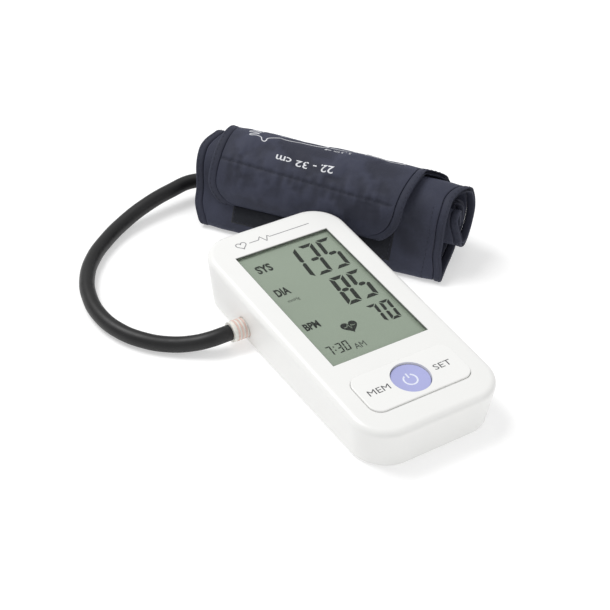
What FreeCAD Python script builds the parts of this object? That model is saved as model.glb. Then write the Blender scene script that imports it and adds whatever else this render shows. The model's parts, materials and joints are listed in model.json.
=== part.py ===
import FreeCAD, Part
import math
import os

# Upper-arm blood pressure monitor with its air hose and its rolled cuff.
# X runs across the monitor, Y from the keys to the rear, Z up.  The origin is the middle of the
# monitor's underside, on the table.  Millimetres throughout.

V = FreeCAD.Vector
X, Y, Z = V(1, 0, 0), V(0, 1, 0), V(0, 0, 1)

# ---- monitor: driving dimensions ----
BODY_W, BODY_L = 78.8, 157.0      # at the top face
CORNER_R = 17.5
DRAFT_X, DRAFT_Y = 3.0, 1.2      # how much smaller the shell is at its lower rim, on each side
RIM_Z = 1.3                      # lower rim of the shell, above the table
TOP_Z, TOP_TILT = 26.2, 2.53     # top face at mid length, and its slope in degrees
TOP_FILLET = 3.2
WALL = 2.0
ROOF = 2.2
WINDOW_X, WINDOW_V0, WINDOW_V1 = 27.05, -28.9, 59.6
LENS_TOP, LENS_T = -0.5, 1.2     # w, depths below the top face are negative
LCD_TOP, LCD_T = -1.8, 2.05
FRAME_TOP, FRAME_LOW = -2.3, -6.45   # of the display frame under the roof
PANEL_X, PANEL_V0, PANEL_V1, PANEL_R = 28.0, -64.5, -40.0, 6.0
PANEL_TOP, PANEL_BOTTOM = 0.9, -1.2
ROCKER_AXIS_W = -3.4
BUTTON_V, BUTTON_R = -52.2, 9.5
BOARD_TOP, BOARD_T = -6.5, 1.2
BOARD_LOW = BOARD_TOP - BOARD_T
BOARD_X, BOARD_V = 31.0, 62.0
FRAME_X, FRAME_V0, FRAME_V1 = 31.0, -34.5, 62.0
BASE_X, BASE_Y, BASE_R, BASE_FLOOR = 34.2, 75.1, 15.3, 2.0
KEY_GAP = 0.2                    # between the rocking key and the shell round it
CASE_SCREWS = [(x, y) for x in (-26.5, 26.5) for y in (-66.5, 66.5)]
BOARD_SCREWS = [(x, v) for x in (-29.6, 29.6) for v in (-32.0, 45.0)]

# ---- batteries and their door ----
CELL_R, CELL_L, CELL_PITCH = 5.25, 43.6, 11.2
CELL_TIP, CELL_Z, CONTACT_T = 0.9, 8.25, 0.4
CELL_XS = [CELL_PITCH * (i - 1.5) for i in range(4)]
BAY_X, BAY_Y0, BAY_Y1, BAY_TOP = 23.3, -62.0, -9.8, 13.7
BAY_WALL = 1.4
SPRING_STEPS, SPRING_SLACK = 16, 0.1   # points per turn of a coil; gap at each of its ends
DOOR_T, DOOR_PIN_Y, DOOR_PIN_Z, DOOR_PIN_R = 1.6, -11.5, 1.5, 0.9

# ---- pump, valve and air path ----
PUMP_X, PUMP_Z, PUMP_R = 17.0, 10.7, 7.5
VALVE_X, VALVE_Z, VALVE_R, PLUNGER_R = -20.0, 8.5, 5.5, 1.9
AIR_Y, AIR_Z = 32.5, 8.5         # axis of the socket and its plug
TUBE_R, TUBE_BORE = 2.0, 1.15
NOSE_R, PLUG_R = 3.2, 5.2
RING_COUNT, RING_PITCH = 4, 2.0  # coloured rings round the plug
AIR_BORE = 1.1                   # through the plug and the cuff's port
RUN = 0.07                       # radial clearance of running fits
PRESS = 0.02                     # the same, of parts pressed on a shaft or can
BARB_R, BARB_BORE = 1.1, 0.5     # of the barbs inside the soft tubes
SHAFT_R, CAN_WALL = 1.0, 0.6
PORT_Y_VALVE = 38.0              # manifold's branch to the valve
BARB_SLACK = 0.25                # the hoses' bores over the barbs inside them

# ---- hose ----
HOSE_R, HOSE_BORE = 4.0, 2.0
FLEX_GAP = 0.6                   # half of the gap where the two hose lengths meet
FLEX_Y = 80.0

# ---- cuff: a sheet wound into a D-shaped roll ----
ROLL_ANGLE = -52.1               # direction of the roll's axis, from +X
ROLL_START = (74.3, 17.5)        # free edge of the flap: distance across the axis, height
# straight stretches are (length, 0); bends are (radius, degrees), a negative radius folds back
ROLL_STRETCHES = [
    (8.85, 0), (20.85, 180), (9.35, 0), (15.35, 90), (26.05, 0),
    (2.5, 115), (12.5, 0), (-30.0, 17), (4.0, 0), (15.8, 172), (1.5, 0),
    (13.4, 180), (3.0, 0), (5.0, 155), (9.0, 0), (-3.6, 150), (-12.0, 55),
]
SHEET_HALF, FACE_HALF, CORE_HALF = 1.6, 1.3, 0.55
BINDING_W = 5.0                  # tape sewn over the edges
HINGE_U, HINGE_GAP = 78.7, 0.2   # where the flap ends, measured along the sheet
LOOP_U, BLADDER_U = (140.0, 176.0), (142.0, 290.0)
TELESCOPE_U, END_U = 196.0, 301.8
OUTER_SPAN = (-105.0, 25.0)      # along the axis, of the outer turn
INNER_SPAN = (-102.0, 31.0)      # along the axis, of the telescoped inner turns
FLAP_SPAN = (-98.0, 3.0)
FLAP_STRIP = (-99.0, 4.0)        # uncut strip the flap is shaped from
FLAP_LEFT_R, FLAP_RIGHT_R = 14.0, (18.0, 17.0)   # corners of the flap; the right one is an ellipse
ROLL_CREST = 95.1                # across the axis, top of the roll
PORT_N, PORT_Z, PORT_DEPTH = 101.0, 11.0, 14.0


# ---- helpers ----
def box(x0, x1, y0, y1, z0, z1):
    return Part.makeBox(x1 - x0, y1 - y0, z1 - z0, V(x0, y0, z0))


def rounded_box(x0, x1, y0, y1, z0, z1, r):
    b = box(x0, x1, y0, y1, z0, z1)
    uprights = [e for e in b.Edges if abs(e.tangentAt(e.FirstParameter).z) > 0.99]
    return b.makeFillet(r, uprights)


def rod(x, y, z, axis, r, length):
    return Part.makeCylinder(r, length, V(x, y, z), axis)


def pipe(x, y, z, axis, r, bore, length):
    return rod(x, y, z, axis, r, length).cut(rod(x, y, z, axis, bore, length))


def fuse(*shapes):
    return shapes[0].multiFuse(list(shapes[1:])).removeSplitter()


def group(shapes):
    return Part.makeCompound(shapes)


def on_top(shape):
    """Move a shape drawn flat at z = 0 onto the monitor's sloping top face."""
    moved = shape.copy()
    tilt = FreeCAD.Rotation(X, TOP_TILT)
    moved.Placement = FreeCAD.Placement(V(0, 0, TOP_Z), tilt).multiply(moved.Placement)
    return moved


def top_height(y, below=0.0):
    slope = math.radians(TOP_TILT)
    return TOP_Z + y * math.tan(slope) - below / math.cos(slope)


def outline(half_x, half_y, r, z):
    """A rounded rectangle as a closed wire."""
    q = r * (1 - math.sqrt(0.5))
    edges = []
    for i in range(4):
        turn = FreeCAD.Rotation(Z, 90 * i)
        a, b = (half_x, half_y) if i % 2 == 0 else (half_y, half_x)
        place = [turn.multVec(p) + V(0, 0, z) for p in (
            V(a, -b + r, 0), V(a, b - r, 0), V(a - q, b - q, 0), V(a - r, b, 0))]
        edges.append(Part.makeLine(place[0], place[1]))
        edges.append(Part.Arc(place[1], place[2], place[3]).toShape())
    return Part.Wire(Part.__sortEdges__(edges))


def shell_block(inset):
    """The monitor's outer form, or the same form moved in by a wall thickness."""
    loft_top = 34.0
    levels = []
    for z in (RIM_Z, loft_top):
        share = (z - TOP_Z) / (TOP_Z - RIM_Z)
        half_x = BODY_W / 2 + DRAFT_X * share - inset
        half_y = BODY_L / 2 + DRAFT_Y * share - inset
        levels.append(outline(half_x, half_y, CORNER_R - inset, z))
    return Part.makeLoft(levels, True, True)


def above_top(w):
    return on_top(box(-90, 90, -120, 120, w, w + 40))


def sweep(points, r, bore):
    """A hose through the given points."""
    line = Part.BSplineCurve()
    line.interpolate(Points=points)
    path = Part.Wire(line.toShape())
    at = line.value(line.FirstParameter)
    along = line.tangent(line.FirstParameter)[0]
    skins = [Part.Wire(Part.makeCircle(c, at, along)) for c in (r, bore)]
    outer, inner = [path.makePipeShell([s], True, False) for s in skins]
    return outer.cut(inner)


def air_tube(points, bend=4.0):
    """A soft tube along straight runs joined by round bends."""
    edges = []
    last = points[0]
    for before, corner, after in zip(points, points[1:], points[2:]):
        a = corner + (before - corner).normalize() * bend
        b = corner + (after - corner).normalize() * bend
        centre = a + b - corner
        middle = centre + (corner - centre).normalize() * bend
        if (a - last).Length > 0.01:
            edges.append(Part.makeLine(last, a))
        edges.append(Part.Arc(a, middle, b).toShape())
        last = b
    edges.append(Part.makeLine(last, points[-1]))
    path = Part.Wire(edges)
    along = points[1] - points[0]
    skins = [Part.Wire(Part.makeCircle(c, points[0], along)) for c in (TUBE_R, TUBE_BORE)]
    outer, inner = [path.makePipeShell([s], True, False) for s in skins]
    return outer.cut(inner)


# ---- monitor casing ----
def make_top_cover():
    outer = shell_block(0).cut(above_top(0))
    rim = [e for e in outer.Edges
           if min(v.Z for v in e.Vertexes) > top_height(-BODY_L / 2) - 0.5
           and all(abs(v.Z - top_height(v.Y)) < 0.05 for v in e.Vertexes)]
    outer = outer.makeFillet(TOP_FILLET, rim)
    cover = outer.cut(shell_block(WALL).cut(above_top(-ROOF)))
    bosses = [rod(x, y, 6.2, Z, 3.0, top_height(y, 1.0) - 6.2) for x, y in CASE_SCREWS]
    cover = fuse(cover, *bosses)
    holes = [rod(x, y, 5.0, Z, 1.15, 7.5) for x, y in CASE_SCREWS]
    holes += [on_top(rod(x, v, -ROOF, Z, 0.85, 1.5)) for x, v in BOARD_SCREWS]
    window = on_top(box(-WINDOW_X, WINDOW_X, WINDOW_V0, WINDOW_V1, -5, 5))
    seat = on_top(box(-28.6, 28.6, -30.5, 61.2, -5, LENS_TOP))
    keys = on_top(rounded_box(-PANEL_X - KEY_GAP, PANEL_X + KEY_GAP, PANEL_V0 - KEY_GAP,
                              PANEL_V1 + KEY_GAP, -5, 5, PANEL_R + KEY_GAP))
    socket_hole = rod(-44, AIR_Y, AIR_Z, X, PLUG_R + 0.35, 16)
    return cover.cut(group([window, seat, keys, socket_hole] + holes))


def make_bottom_cover():
    tray = rounded_box(-BASE_X, BASE_X, -BASE_Y, BASE_Y, 0, 6, BASE_R)
    tray = tray.cut(rounded_box(-BASE_X + BAY_WALL, BASE_X - BAY_WALL, -BASE_Y + BAY_WALL,
                                BASE_Y - BAY_WALL, BASE_FLOOR, 7, BASE_R - BAY_WALL))
    bay_walls = box(-BAY_X - BAY_WALL, BAY_X + BAY_WALL, BAY_Y0 - BAY_WALL, BAY_Y1 + BAY_WALL,
                    0, BAY_TOP + 1.2)
    columns = [rod(x, y, 0, Z, 3.4, 6.1) for x, y in CASE_SCREWS]
    cradles = [box(PUMP_X - 9.5, PUMP_X + 9.5, y, y + 2, 1.0, PUMP_Z) for y in (13.0, 38.0)]
    cradles += [box(VALVE_X - 7, VALVE_X + 7, y, y + 1.6, 1.0, VALVE_Z) for y in (50.0, 58.0)]
    cradles += [box(-30.0, -24.0, AIR_Y - 8, AIR_Y + 8, 1.0, AIR_Z)]
    tray = fuse(tray, bay_walls, *(columns + cradles))
    cuts = [box(-BAY_X, BAY_X, BAY_Y0, BAY_Y1, -1, BAY_TOP)]
    cuts += [rod(x, y, -1, Z, 1.3, 8) for x, y in CASE_SCREWS]
    cuts += [rod(x, y, -1, Z, 2.4, 2.7) for x, y in CASE_SCREWS]
    cuts += [rod(x, y, -1, Z, 5.05, 2.0) for x, y in foot_places()]
    cuts += [rod(-BAY_X - 1.3, DOOR_PIN_Y, DOOR_PIN_Z, X, DOOR_PIN_R + RUN, 2 * BAY_X + 2.6)]
    cuts += [rod(PUMP_X, 10, PUMP_Z, Y, PUMP_R + 0.85, 22)]
    cuts += [rod(PUMP_X, 32, PUMP_Z, Y, PUMP_R + 0.05, 12)]
    cuts += [rod(VALVE_X, 44, VALVE_Z, Y, VALVE_R + 0.05, 22)]
    cuts += [rod(-36, AIR_Y, AIR_Z, X, 6.25, 16)]
    cuts += [box(-33, -30.9, AIR_Y - 6.3, AIR_Y + 6.3, 1.2, 7)]
    return tray.cut(group(cuts))


def foot_places():
    return [(x, y) for x in (-18.0, 18.0) for y in (-2.0, 65.0)]


def make_feet():
    return group([rod(x, y, 0, Z, 5.0, 0.95) for x, y in foot_places()])


def make_case_screws():
    screws = []
    for x, y in CASE_SCREWS:
        head = rod(x, y, 0.3, Z, 2.2, 1.35)
        slot = box(x - 1.5, x + 1.5, y - 0.3, y + 0.3, 0.2, 0.9)
        cross = box(x - 0.3, x + 0.3, y - 1.5, y + 1.5, 0.2, 0.9)
        screws.append(fuse(head, rod(x, y, 1.6, Z, 1.1, 10.4)).cut(slot).cut(cross))
    return group(screws)


def make_board_screws():
    screws = []
    for x, v in BOARD_SCREWS:
        head = rod(x, v, BOARD_LOW - 1.0, Z, 1.3, 0.95)
        shank = rod(x, v, BOARD_LOW - 0.1, Z, 0.8, -0.8 - BOARD_LOW)
        screws.append(on_top(fuse(head, shank)))
    return group(screws)


# ---- display ----
def make_lens():
    return on_top(box(-28.5, 28.5, -30.4, 61.1, LENS_TOP - LENS_T, LENS_TOP))


def make_lcd_panel():
    return on_top(box(-28.2, 28.2, -30.1, 60.8, LCD_TOP - LCD_T, LCD_TOP))


def make_lcd_frame():
    frame = box(-FRAME_X, FRAME_X, FRAME_V0, FRAME_V1, FRAME_LOW, FRAME_TOP)
    pocket = box(-28.3, 28.3, -30.2, 60.9, LCD_TOP - LCD_T - 0.05, -2.0)
    back = box(-27.3, 27.3, -29.0, 59.5, -7, -2)
    holes = [rod(x, v, -7, Z, 0.9, 6) for x, v in BOARD_SCREWS]
    return on_top(frame.cut(group([pocket, back] + holes)))


def make_connector_strips():
    return group([on_top(box(x - 0.9, x + 0.9, -27.5, 58.0, FRAME_LOW, LCD_TOP - LCD_T - 0.05))
                  for x in (-26.2, 26.2)])


def make_main_board():
    board = rounded_box(-BOARD_X, BOARD_X, -BOARD_V, BOARD_V, BOARD_LOW, BOARD_TOP, 2)
    holes = [rod(x, v, -9, Z, 0.9, 4) for x, v in BOARD_SCREWS]
    return on_top(board.cut(group(holes)))


def make_board_chips():
    """The controller, the memory and small parts: place, width, length and height of each."""
    sizes = [(-6, 2, 12, 12, 1.4), (-6, 12, 5, 4, 1.2), (4, -20, 6, 5, 1.2), (-16, -6, 4, 3, 1.0),
             (-16, -24, 3, 2, 0.9), (-9, -24, 3, 2, 0.9), (16, -20, 7, 4, 1.2), (-27, 20, 3, 6, 1.2)]
    return group([on_top(box(x - w / 2, x + w / 2, v - d / 2, v + d / 2, BOARD_LOW - h, BOARD_LOW))
                  for x, v, w, d, h in sizes])


def make_key_frame():
    frame = box(-FRAME_X, FRAME_X, -67.4, -35.5, -5.4, FRAME_TOP)
    opening = box(-28.7, 28.7, PANEL_V0 - 0.6, PANEL_V1 + 0.6, -4.8, -2)
    bores = rod(0, PANEL_V0 - 2.6, ROCKER_AXIS_W, Y, 0.8 + RUN, PANEL_V1 - PANEL_V0 + 5.2)
    key_holes = [rod(x, BUTTON_V, -6, Z, r, 3) for x, r in ((0, 5.4), (-18, 4.0), (18, 4.0))]
    corners = [rod(x, -66.5, -9, Z, 3.6, 9) for x in (-26.5, 26.5)]
    return on_top(frame.cut(group([opening, bores] + key_holes + corners)))


def make_key_mat():
    sheet = box(-24, 24, -61.0, -42.0, BOARD_TOP, BOARD_TOP + 0.6)
    domes = [Part.makeCone(r + 0.8, r, h, V(x, BUTTON_V, BOARD_TOP + 0.5))
             for x, r, h in ((0, 4.0, 1.8), (-18, 2.6, 1.75), (18, 2.6, 1.75))]
    return on_top(fuse(sheet, *domes))


def make_rocker_key():
    plate = rounded_box(-PANEL_X, PANEL_X, PANEL_V0, PANEL_V1, PANEL_BOTTOM, PANEL_TOP, PANEL_R)
    edge = [e for e in plate.Edges if all(abs(p.Z - PANEL_TOP) < 0.01 for p in e.Vertexes)]
    plate = plate.makeFillet(0.5, edge)
    legs = [box(-2.5, 2.5, PANEL_V0 + 0.2, PANEL_V0 + 1.3, -4.2, 0),
            box(-2.5, 2.5, PANEL_V1 - 1.3, PANEL_V1 - 0.2, -4.2, 0)]
    pins = [rod(0, PANEL_V0 - 2.3, ROCKER_AXIS_W, Y, 0.8, 3.0),
            rod(0, PANEL_V1 - 0.7, ROCKER_AXIS_W, Y, 0.8, 3.0)]
    posts = [rod(x, BUTTON_V, -3.6, Z, 2.0, 3.0) for x in (-18, 18)]
    key = fuse(plate, *(legs + pins + posts))
    return on_top(key.cut(rod(0, BUTTON_V, -8, Z, BUTTON_R + 0.3, 12)))


def make_start_button():
    stem = rod(0, BUTTON_V, -3.0, Z, BUTTON_R, 2.9)
    edge = [e for e in stem.Edges if abs(e.Vertexes[0].Z + 0.1) < 0.01 and len(e.Vertexes) == 1]
    stem = stem.makeFillet(0.5, edge)
    flange = rod(0, BUTTON_V, -3.0, Z, BUTTON_R + 1.1, 1.2)
    dish_r = 52.0
    dish = Part.makeSphere(dish_r, V(0, BUTTON_V, dish_r - 0.95))
    return on_top(fuse(stem, flange).cut(dish))


# ---- batteries ----
def cells():
    """Each cell's x, the direction of its positive end along Y, and the middle of its can."""
    places = []
    for i, x in enumerate(CELL_XS):
        way = 1 if i % 2 == 0 else -1
        plate = BAY_Y1 - CONTACT_T if way > 0 else BAY_Y0 + CONTACT_T
        places.append((x, way, plate - way * (0.05 + CELL_TIP + CELL_L / 2)))
    return places


def make_cells():
    made = []
    for x, way, y in cells():
        can = rod(x, y - CELL_L / 2, CELL_Z, Y, CELL_R, CELL_L)
        can = can.makeFillet(0.5, [e for e in can.Edges if e.Curve.TypeId == "Part::GeomCircle"])
        tip = rod(x, y + way * (CELL_L / 2 - 0.1), CELL_Z, V(0, way, 0), 1.9, CELL_TIP + 0.1)
        made.append(fuse(can, tip))
    return group(made)


def spring(radius, wire_r, turns, length):
    """A coil spring that rises along +Z from z = 0 to length, wire ends included."""
    steps = turns * SPRING_STEPS
    rise = (length - 2.4 * wire_r) / steps
    points = []
    for i in range(steps + 1):
        turn = 2 * math.pi * i / SPRING_STEPS
        points.append(V(radius * math.cos(turn), radius * math.sin(turn), 1.2 * wire_r + rise * i))
    line = Part.BSplineCurve()
    line.interpolate(Points=points)
    along = line.tangent(line.FirstParameter)[0]
    ring = Part.Wire(Part.makeCircle(wire_r, points[0], along))
    return Part.Wire(line.toShape()).makePipeShell([ring], True, True)


def make_springs():
    springs = []
    for x, way, y in cells():
        wall = BAY_Y0 + CONTACT_T if way > 0 else BAY_Y1 - CONTACT_T
        far = y - way * CELL_L / 2
        coil = spring(3.0, 0.35, 3, abs(far - wall) - 2 * SPRING_SLACK)
        place = V(x, max(far, wall) - SPRING_SLACK, CELL_Z)
        coil.Placement = FreeCAD.Placement(place, FreeCAD.Rotation(X, 90))
        springs.append(coil)
    return group(springs)


def make_contacts():
    plates = []
    for x in CELL_XS:
        for y in (BAY_Y0, BAY_Y1 - CONTACT_T):
            plates.append(box(x - 4.6, x + 4.6, y, y + CONTACT_T, CELL_Z - 4.8, CELL_Z + 4.8))
    return group(plates)


def make_battery_door():
    plate = box(-BAY_X + 0.3, BAY_X - 0.3, BAY_Y0 + 0.3, DOOR_PIN_Y, 0, DOOR_T)
    roll = rod(-20.0, DOOR_PIN_Y, DOOR_PIN_Z, X, 1.45, 40.0)
    pins = rod(-BAY_X - 1.1, DOOR_PIN_Y, DOOR_PIN_Z, X, DOOR_PIN_R, 2 * BAY_X + 2.2)
    nib = box(-4, 4, BAY_Y0 + 0.1, BAY_Y0 + 0.6, 0.6, DOOR_T)
    door = fuse(plate, roll, pins, nib)
    grips = [box(-6, 6, BAY_Y0 + 4 + 1.6 * i, BAY_Y0 + 4.8 + 1.6 * i, -1, 0.5) for i in range(4)]
    pin_space = rod(-BAY_X - 2, DOOR_PIN_Y, DOOR_PIN_Z, X, DOOR_PIN_R, 2 * BAY_X + 4)
    ends = [box(x0, x1, DOOR_PIN_Y - 1.3, DOOR_PIN_Y + 3, -1, 4).cut(pin_space)
            for x0, x1 in ((-BAY_X, -20.0), (20.0, BAY_X))]
    return door.cut(group(grips + ends))


# ---- pump ----
def pump_rod(y0, y1, r):
    return rod(PUMP_X, y0, PUMP_Z, Y, r, y1 - y0)


def make_motor_can():
    can = pump_rod(12.0, 34.0, PUMP_R).cut(pump_rod(12.0, 33.2, PUMP_R - CAN_WALL))
    return can.cut(pump_rod(33, 35, SHAFT_R + RUN))


def make_motor_cap():
    cap = fuse(pump_rod(10.6, 12.0, PUMP_R - 0.3), pump_rod(12.0, 14.0, PUMP_R - CAN_WALL - 0.05))
    tabs = [box(PUMP_X + s * 4 - 0.8, PUMP_X + s * 4 + 0.8, 9.6, 10.8, PUMP_Z - 0.2, PUMP_Z + 0.2)
            for s in (-1, 1)]
    return fuse(cap, *tabs).cut(pump_rod(10.0, 14.5, SHAFT_R + RUN))


def make_motor_magnets():
    ring = pump_rod(15.5, 32.5, PUMP_R - CAN_WALL - 0.05).cut(pump_rod(15, 33, 5.6))
    halves = [box(PUMP_X + x0, PUMP_X + x1, 15, 33, 0, 20) for x0, x1 in ((-9, -1), (1, 9))]
    return group([ring.common(half) for half in halves])


def make_armature():
    core = pump_rod(17.0, 31.5, 5.3).cut(pump_rod(16, 33, SHAFT_R + PRESS))
    slots = [box(PUMP_X - 0.7, PUMP_X + 0.7, 16, 33, PUMP_Z + 2.6, PUMP_Z + 7)]
    for turn in (120, 240):
        slot = slots[0].copy()
        slot.rotate(V(PUMP_X, 0, PUMP_Z), Y, turn)
        slots.append(slot)
    return core.cut(group(slots))


def make_pump_shaft():
    return pump_rod(10.8, 37.6, SHAFT_R)


def make_eccentric():
    disc = pump_rod(34.6, 37.6, 3.6).cut(pump_rod(34, 38, SHAFT_R + PRESS))
    crank = rod(PUMP_X + 2.4, 37.6, PUMP_Z, Y, 0.8, 2.0)
    return fuse(disc, crank)


def make_pump_head():
    head = pump_rod(34.05, 50.0, PUMP_R).cut(pump_rod(34.0, 41.2, 5.6)).cut(pump_rod(34, 45.0, 4.8))
    nozzle = fuse(pump_rod(49.5, 52.0, 2.4), pump_rod(52.0, 57.0, BARB_R))
    return fuse(head, nozzle).cut(pump_rod(44, 58, 0.6))


def make_diaphragm():
    return fuse(pump_rod(41.25, 42.05, 4.75), pump_rod(42.0, 44.6, 2.0), pump_rod(40.2, 41.3, 1.4))


def make_pump_sleeve():
    return pump_rod(16.0, 31.5, PUMP_R + 0.8).cut(pump_rod(15, 32, PUMP_R + PRESS))


# ---- release valve ----
def valve_rod(y0, y1, r):
    return rod(VALVE_X, y0, VALVE_Z, Y, r, y1 - y0)


def make_valve_body():
    body = valve_rod(46.0, 63.0, VALVE_R).cut(valve_rod(50.0, 62.0, VALVE_R - CAN_WALL))
    body = body.cut(valve_rod(47.0, 51, 2.4))
    nozzle = valve_rod(42.0, 46.2, BARB_R)
    bore = valve_rod(40, 48, BARB_BORE)
    vent = rod(VALVE_X, 48.4, VALVE_Z, Z, BARB_BORE, 7)
    return fuse(body, nozzle).cut(group([bore, vent]))


def make_valve_coil():
    return valve_rod(50.5, 61.5, 4.7).cut(valve_rod(50, 62, PLUNGER_R + RUN))


def make_valve_plunger():
    return valve_rod(49.2, 59.0, PLUNGER_R)


def make_valve_seal():
    return valve_rod(47.9, 49.2, 1.5)


def make_valve_spring():
    coil = spring(1.2, 0.18, 3, 2.4)
    coil.Placement = FreeCAD.Placement(V(VALVE_X, 61.9, VALVE_Z), FreeCAD.Rotation(X, 90))
    return coil


# ---- air path inside the monitor ----
def make_air_socket():
    body = rod(-33.9, AIR_Y, AIR_Z, X, 5.4, 11.5)
    flange = rod(-30.0, AIR_Y, AIR_Z, X, 6.2, 6.0)
    barb = rod(-22.6, AIR_Y, AIR_Z, X, BARB_R, 6.1)
    groove = rod(-28.0, AIR_Y, AIR_Z, X, 4.95, 1.8)
    bore = rod(-34, AIR_Y, AIR_Z, X, NOSE_R + RUN, 11.0)
    socket = fuse(body, flange, barb)
    return socket.cut(group([bore, groove, rod(-24, AIR_Y, AIR_Z, X, 0.6, 8)]))


def make_o_ring():
    return Part.makeTorus(4.06, 0.8, V(-27.1, AIR_Y, AIR_Z), X)


def make_manifold():
    block = box(-12.0, -3.0, 28.0, 44.0, 5.0, 12.0)
    block = block.makeFillet(1.0, block.Edges)
    barbs = [rod(-15.0, y, AIR_Z, X, BARB_R, 4) for y in (AIR_Y, PORT_Y_VALVE)]
    barbs += [rod(-7.5, y, AIR_Z, Y, BARB_R, 4) for y in (25.0, 43.0)]
    bores = [rod(-16.0, y, AIR_Z, X, BARB_BORE, 8.5) for y in (AIR_Y, PORT_Y_VALVE)]
    bores += [rod(-7.5, 24.0, AIR_Z, Y, BARB_BORE + 0.2, 24)]
    return fuse(block, *barbs).cut(group(bores))


def make_air_tubes():
    straight = pipe(-19.6, AIR_Y, AIR_Z, X, TUBE_R, TUBE_BORE, 7.5)
    to_valve = air_tube([V(VALVE_X, 45.8, AIR_Z), V(VALVE_X, PORT_Y_VALVE, AIR_Z),
                         V(-12.1, PORT_Y_VALVE, AIR_Z)], 3.5)
    to_pump = air_tube([V(PUMP_X, 52.2, PUMP_Z), V(PUMP_X, 64.0, PUMP_Z), V(-7.5, 64.0, PUMP_Z),
                        V(-7.5, 56.0, AIR_Z), V(-7.5, 44.1, AIR_Z)], 3.5)
    to_sensor = air_tube([V(-7.5, 27.9, AIR_Z), V(-7.5, 20.0, AIR_Z), V(-7.5, 20.0, 14.6)], 4.0)
    return group([straight, to_valve, to_pump, to_sensor])


def make_pressure_sensor():
    body = on_top(box(-12.5, -2.5, 16.0, 25.0, BOARD_LOW - 3.4, BOARD_LOW))
    nozzle = rod(-7.5, 20.0, 12.6, Z, BARB_R, 4.0)
    return fuse(body, nozzle).cut(rod(-7.5, 20.0, 12.0, Z, BARB_BORE, 4.5))


def make_buzzer():
    can = rod(-22.0, 8.0, BOARD_LOW - 4.2, Z, 6.0, 4.2)
    return on_top(can.cut(rod(-22.0, 8.0, BOARD_LOW - 5, Z, 1.0, 2.0)))


# ---- plug and hose ----
def make_air_plug():
    nose = rod(-35.6, AIR_Y, AIR_Z, X, NOSE_R, 11.2)
    head = rod(-45.5, AIR_Y, AIR_Z, X, PLUG_R, 10.0)
    grooves = [pipe(-37.4 - RING_PITCH * i, AIR_Y, AIR_Z, X, PLUG_R + 1, PLUG_R - 0.6, 1.0)
               for i in range(RING_COUNT)]
    barb = rod(-50.5, AIR_Y, AIR_Z, X, HOSE_BORE - BARB_SLACK, 5.5)
    plug = fuse(nose, head, barb).cut(group(grooves))
    return plug.cut(rod(-54, AIR_Y, AIR_Z, X, AIR_BORE, 32))


def make_plug_rings():
    return group([pipe(-37.35 - RING_PITCH * i, AIR_Y, AIR_Z, X, PLUG_R + 0.15, PLUG_R - 0.57, 0.9)
                  for i in range(RING_COUNT)])


def make_hose_front():
    """From the plug down to the table and round to the point where the hose bends freely."""
    straight = [V(x, AIR_Y, AIR_Z) for x in (-45.8, -47.5, -49.0, -50.5)]
    return sweep(straight + [V(-55.5, AIR_Y + 0.9, 7.7), V(-63.4, 37.2, 5.6), V(-73.0, 43.6, 4.2),
                             V(-82.3, 52.6, 4.1), V(-89.4, 65.5, 4.1),
                             V(-92.0, FLEX_Y - FLEX_GAP, 4.1)], HOSE_R, HOSE_BORE)


def make_hose_rear():
    """From the bend over the table and up into the cuff's left end."""
    mouth = OUTER_SPAN[0] - 1.0
    straight = [roll_point(mouth + 3.0 * i, PORT_N, PORT_Z) for i in range(6)]
    return sweep([V(-92.0, FLEX_Y + FLEX_GAP, 4.1), V(-90.0, 96.0, 4.1), V(-84.2, 110.5, 4.1),
                  V(-74.2, 124.0, 4.1), V(-60.8, 135.2, 4.3), V(-46.5, 143.2, 5.6),
                  V(-31.2, 148.4, 8.0), V(-13.5, 152.0, 10.0), V(2.0, 153.0, 11.0)] + straight,
                 HOSE_R, HOSE_BORE)


# ---- cuff ----
def roll_axis():
    a = math.radians(ROLL_ANGLE)
    return V(math.cos(a), math.sin(a), 0)


def roll_across():
    a = math.radians(ROLL_ANGLE)
    return V(-math.sin(a), math.cos(a), 0)


def roll_point(s, n, z):
    """A point given along the roll's axis, across it, and by its height."""
    return roll_axis() * s + roll_across() * n + Z * z


def sheet_edges(u0, u1, offset, s):
    """The rolled sheet's line from u0 to u1, moved out from the sheet's middle by offset."""
    n, z = ROLL_START
    heading, u, edges = 90.0, 0.0, []
    for size, degrees in ROLL_STRETCHES:
        length = size if degrees == 0 else abs(size) * math.radians(degrees)
        a, b = max(u0, u) - u, min(u1, u + length) - u
        way = 0 if degrees == 0 else (-1 if size > 0 else 1)

        def at(distance):
            h = math.radians(heading)
            if way == 0:
                return n + distance * math.cos(h), z + distance * math.sin(h), heading
            r = abs(size)
            cn, cz = n - way * r * math.sin(h), z + way * r * math.cos(h)
            new = heading + way * math.degrees(distance / r)
            t = math.radians(new)
            return cn + way * r * math.sin(t), cz - way * r * math.cos(t), new

        def moved(distance):
            pn, pz, h = at(distance)
            t = math.radians(h)
            return roll_point(s, pn - offset * math.sin(t), pz + offset * math.cos(t))

        if b - a > 1e-6:
            if way == 0:
                edges.append(Part.makeLine(moved(a), moved(b)))
            else:
                edges.append(Part.Arc(moved(a), moved((a + b) / 2), moved(b)).toShape())
        n, z, heading = at(length)
        u += length
    return edges


def ribbon(u0, u1, inner, outer, s0, s1):
    """A layer of the rolled sheet between two offsets, from s0 to s1 along the axis."""
    out = sheet_edges(u0, u1, outer, s0)
    back = sheet_edges(u0, u1, inner, s0)
    ends = [Part.makeLine(out[0].firstVertex(True).Point, back[0].firstVertex(True).Point),
            Part.makeLine(out[-1].lastVertex(True).Point, back[-1].lastVertex(True).Point)]
    face = Part.Face(Part.Wire(Part.__sortEdges__(out + back + ends)))
    return face.extrude(roll_axis() * (s1 - s0))


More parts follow.
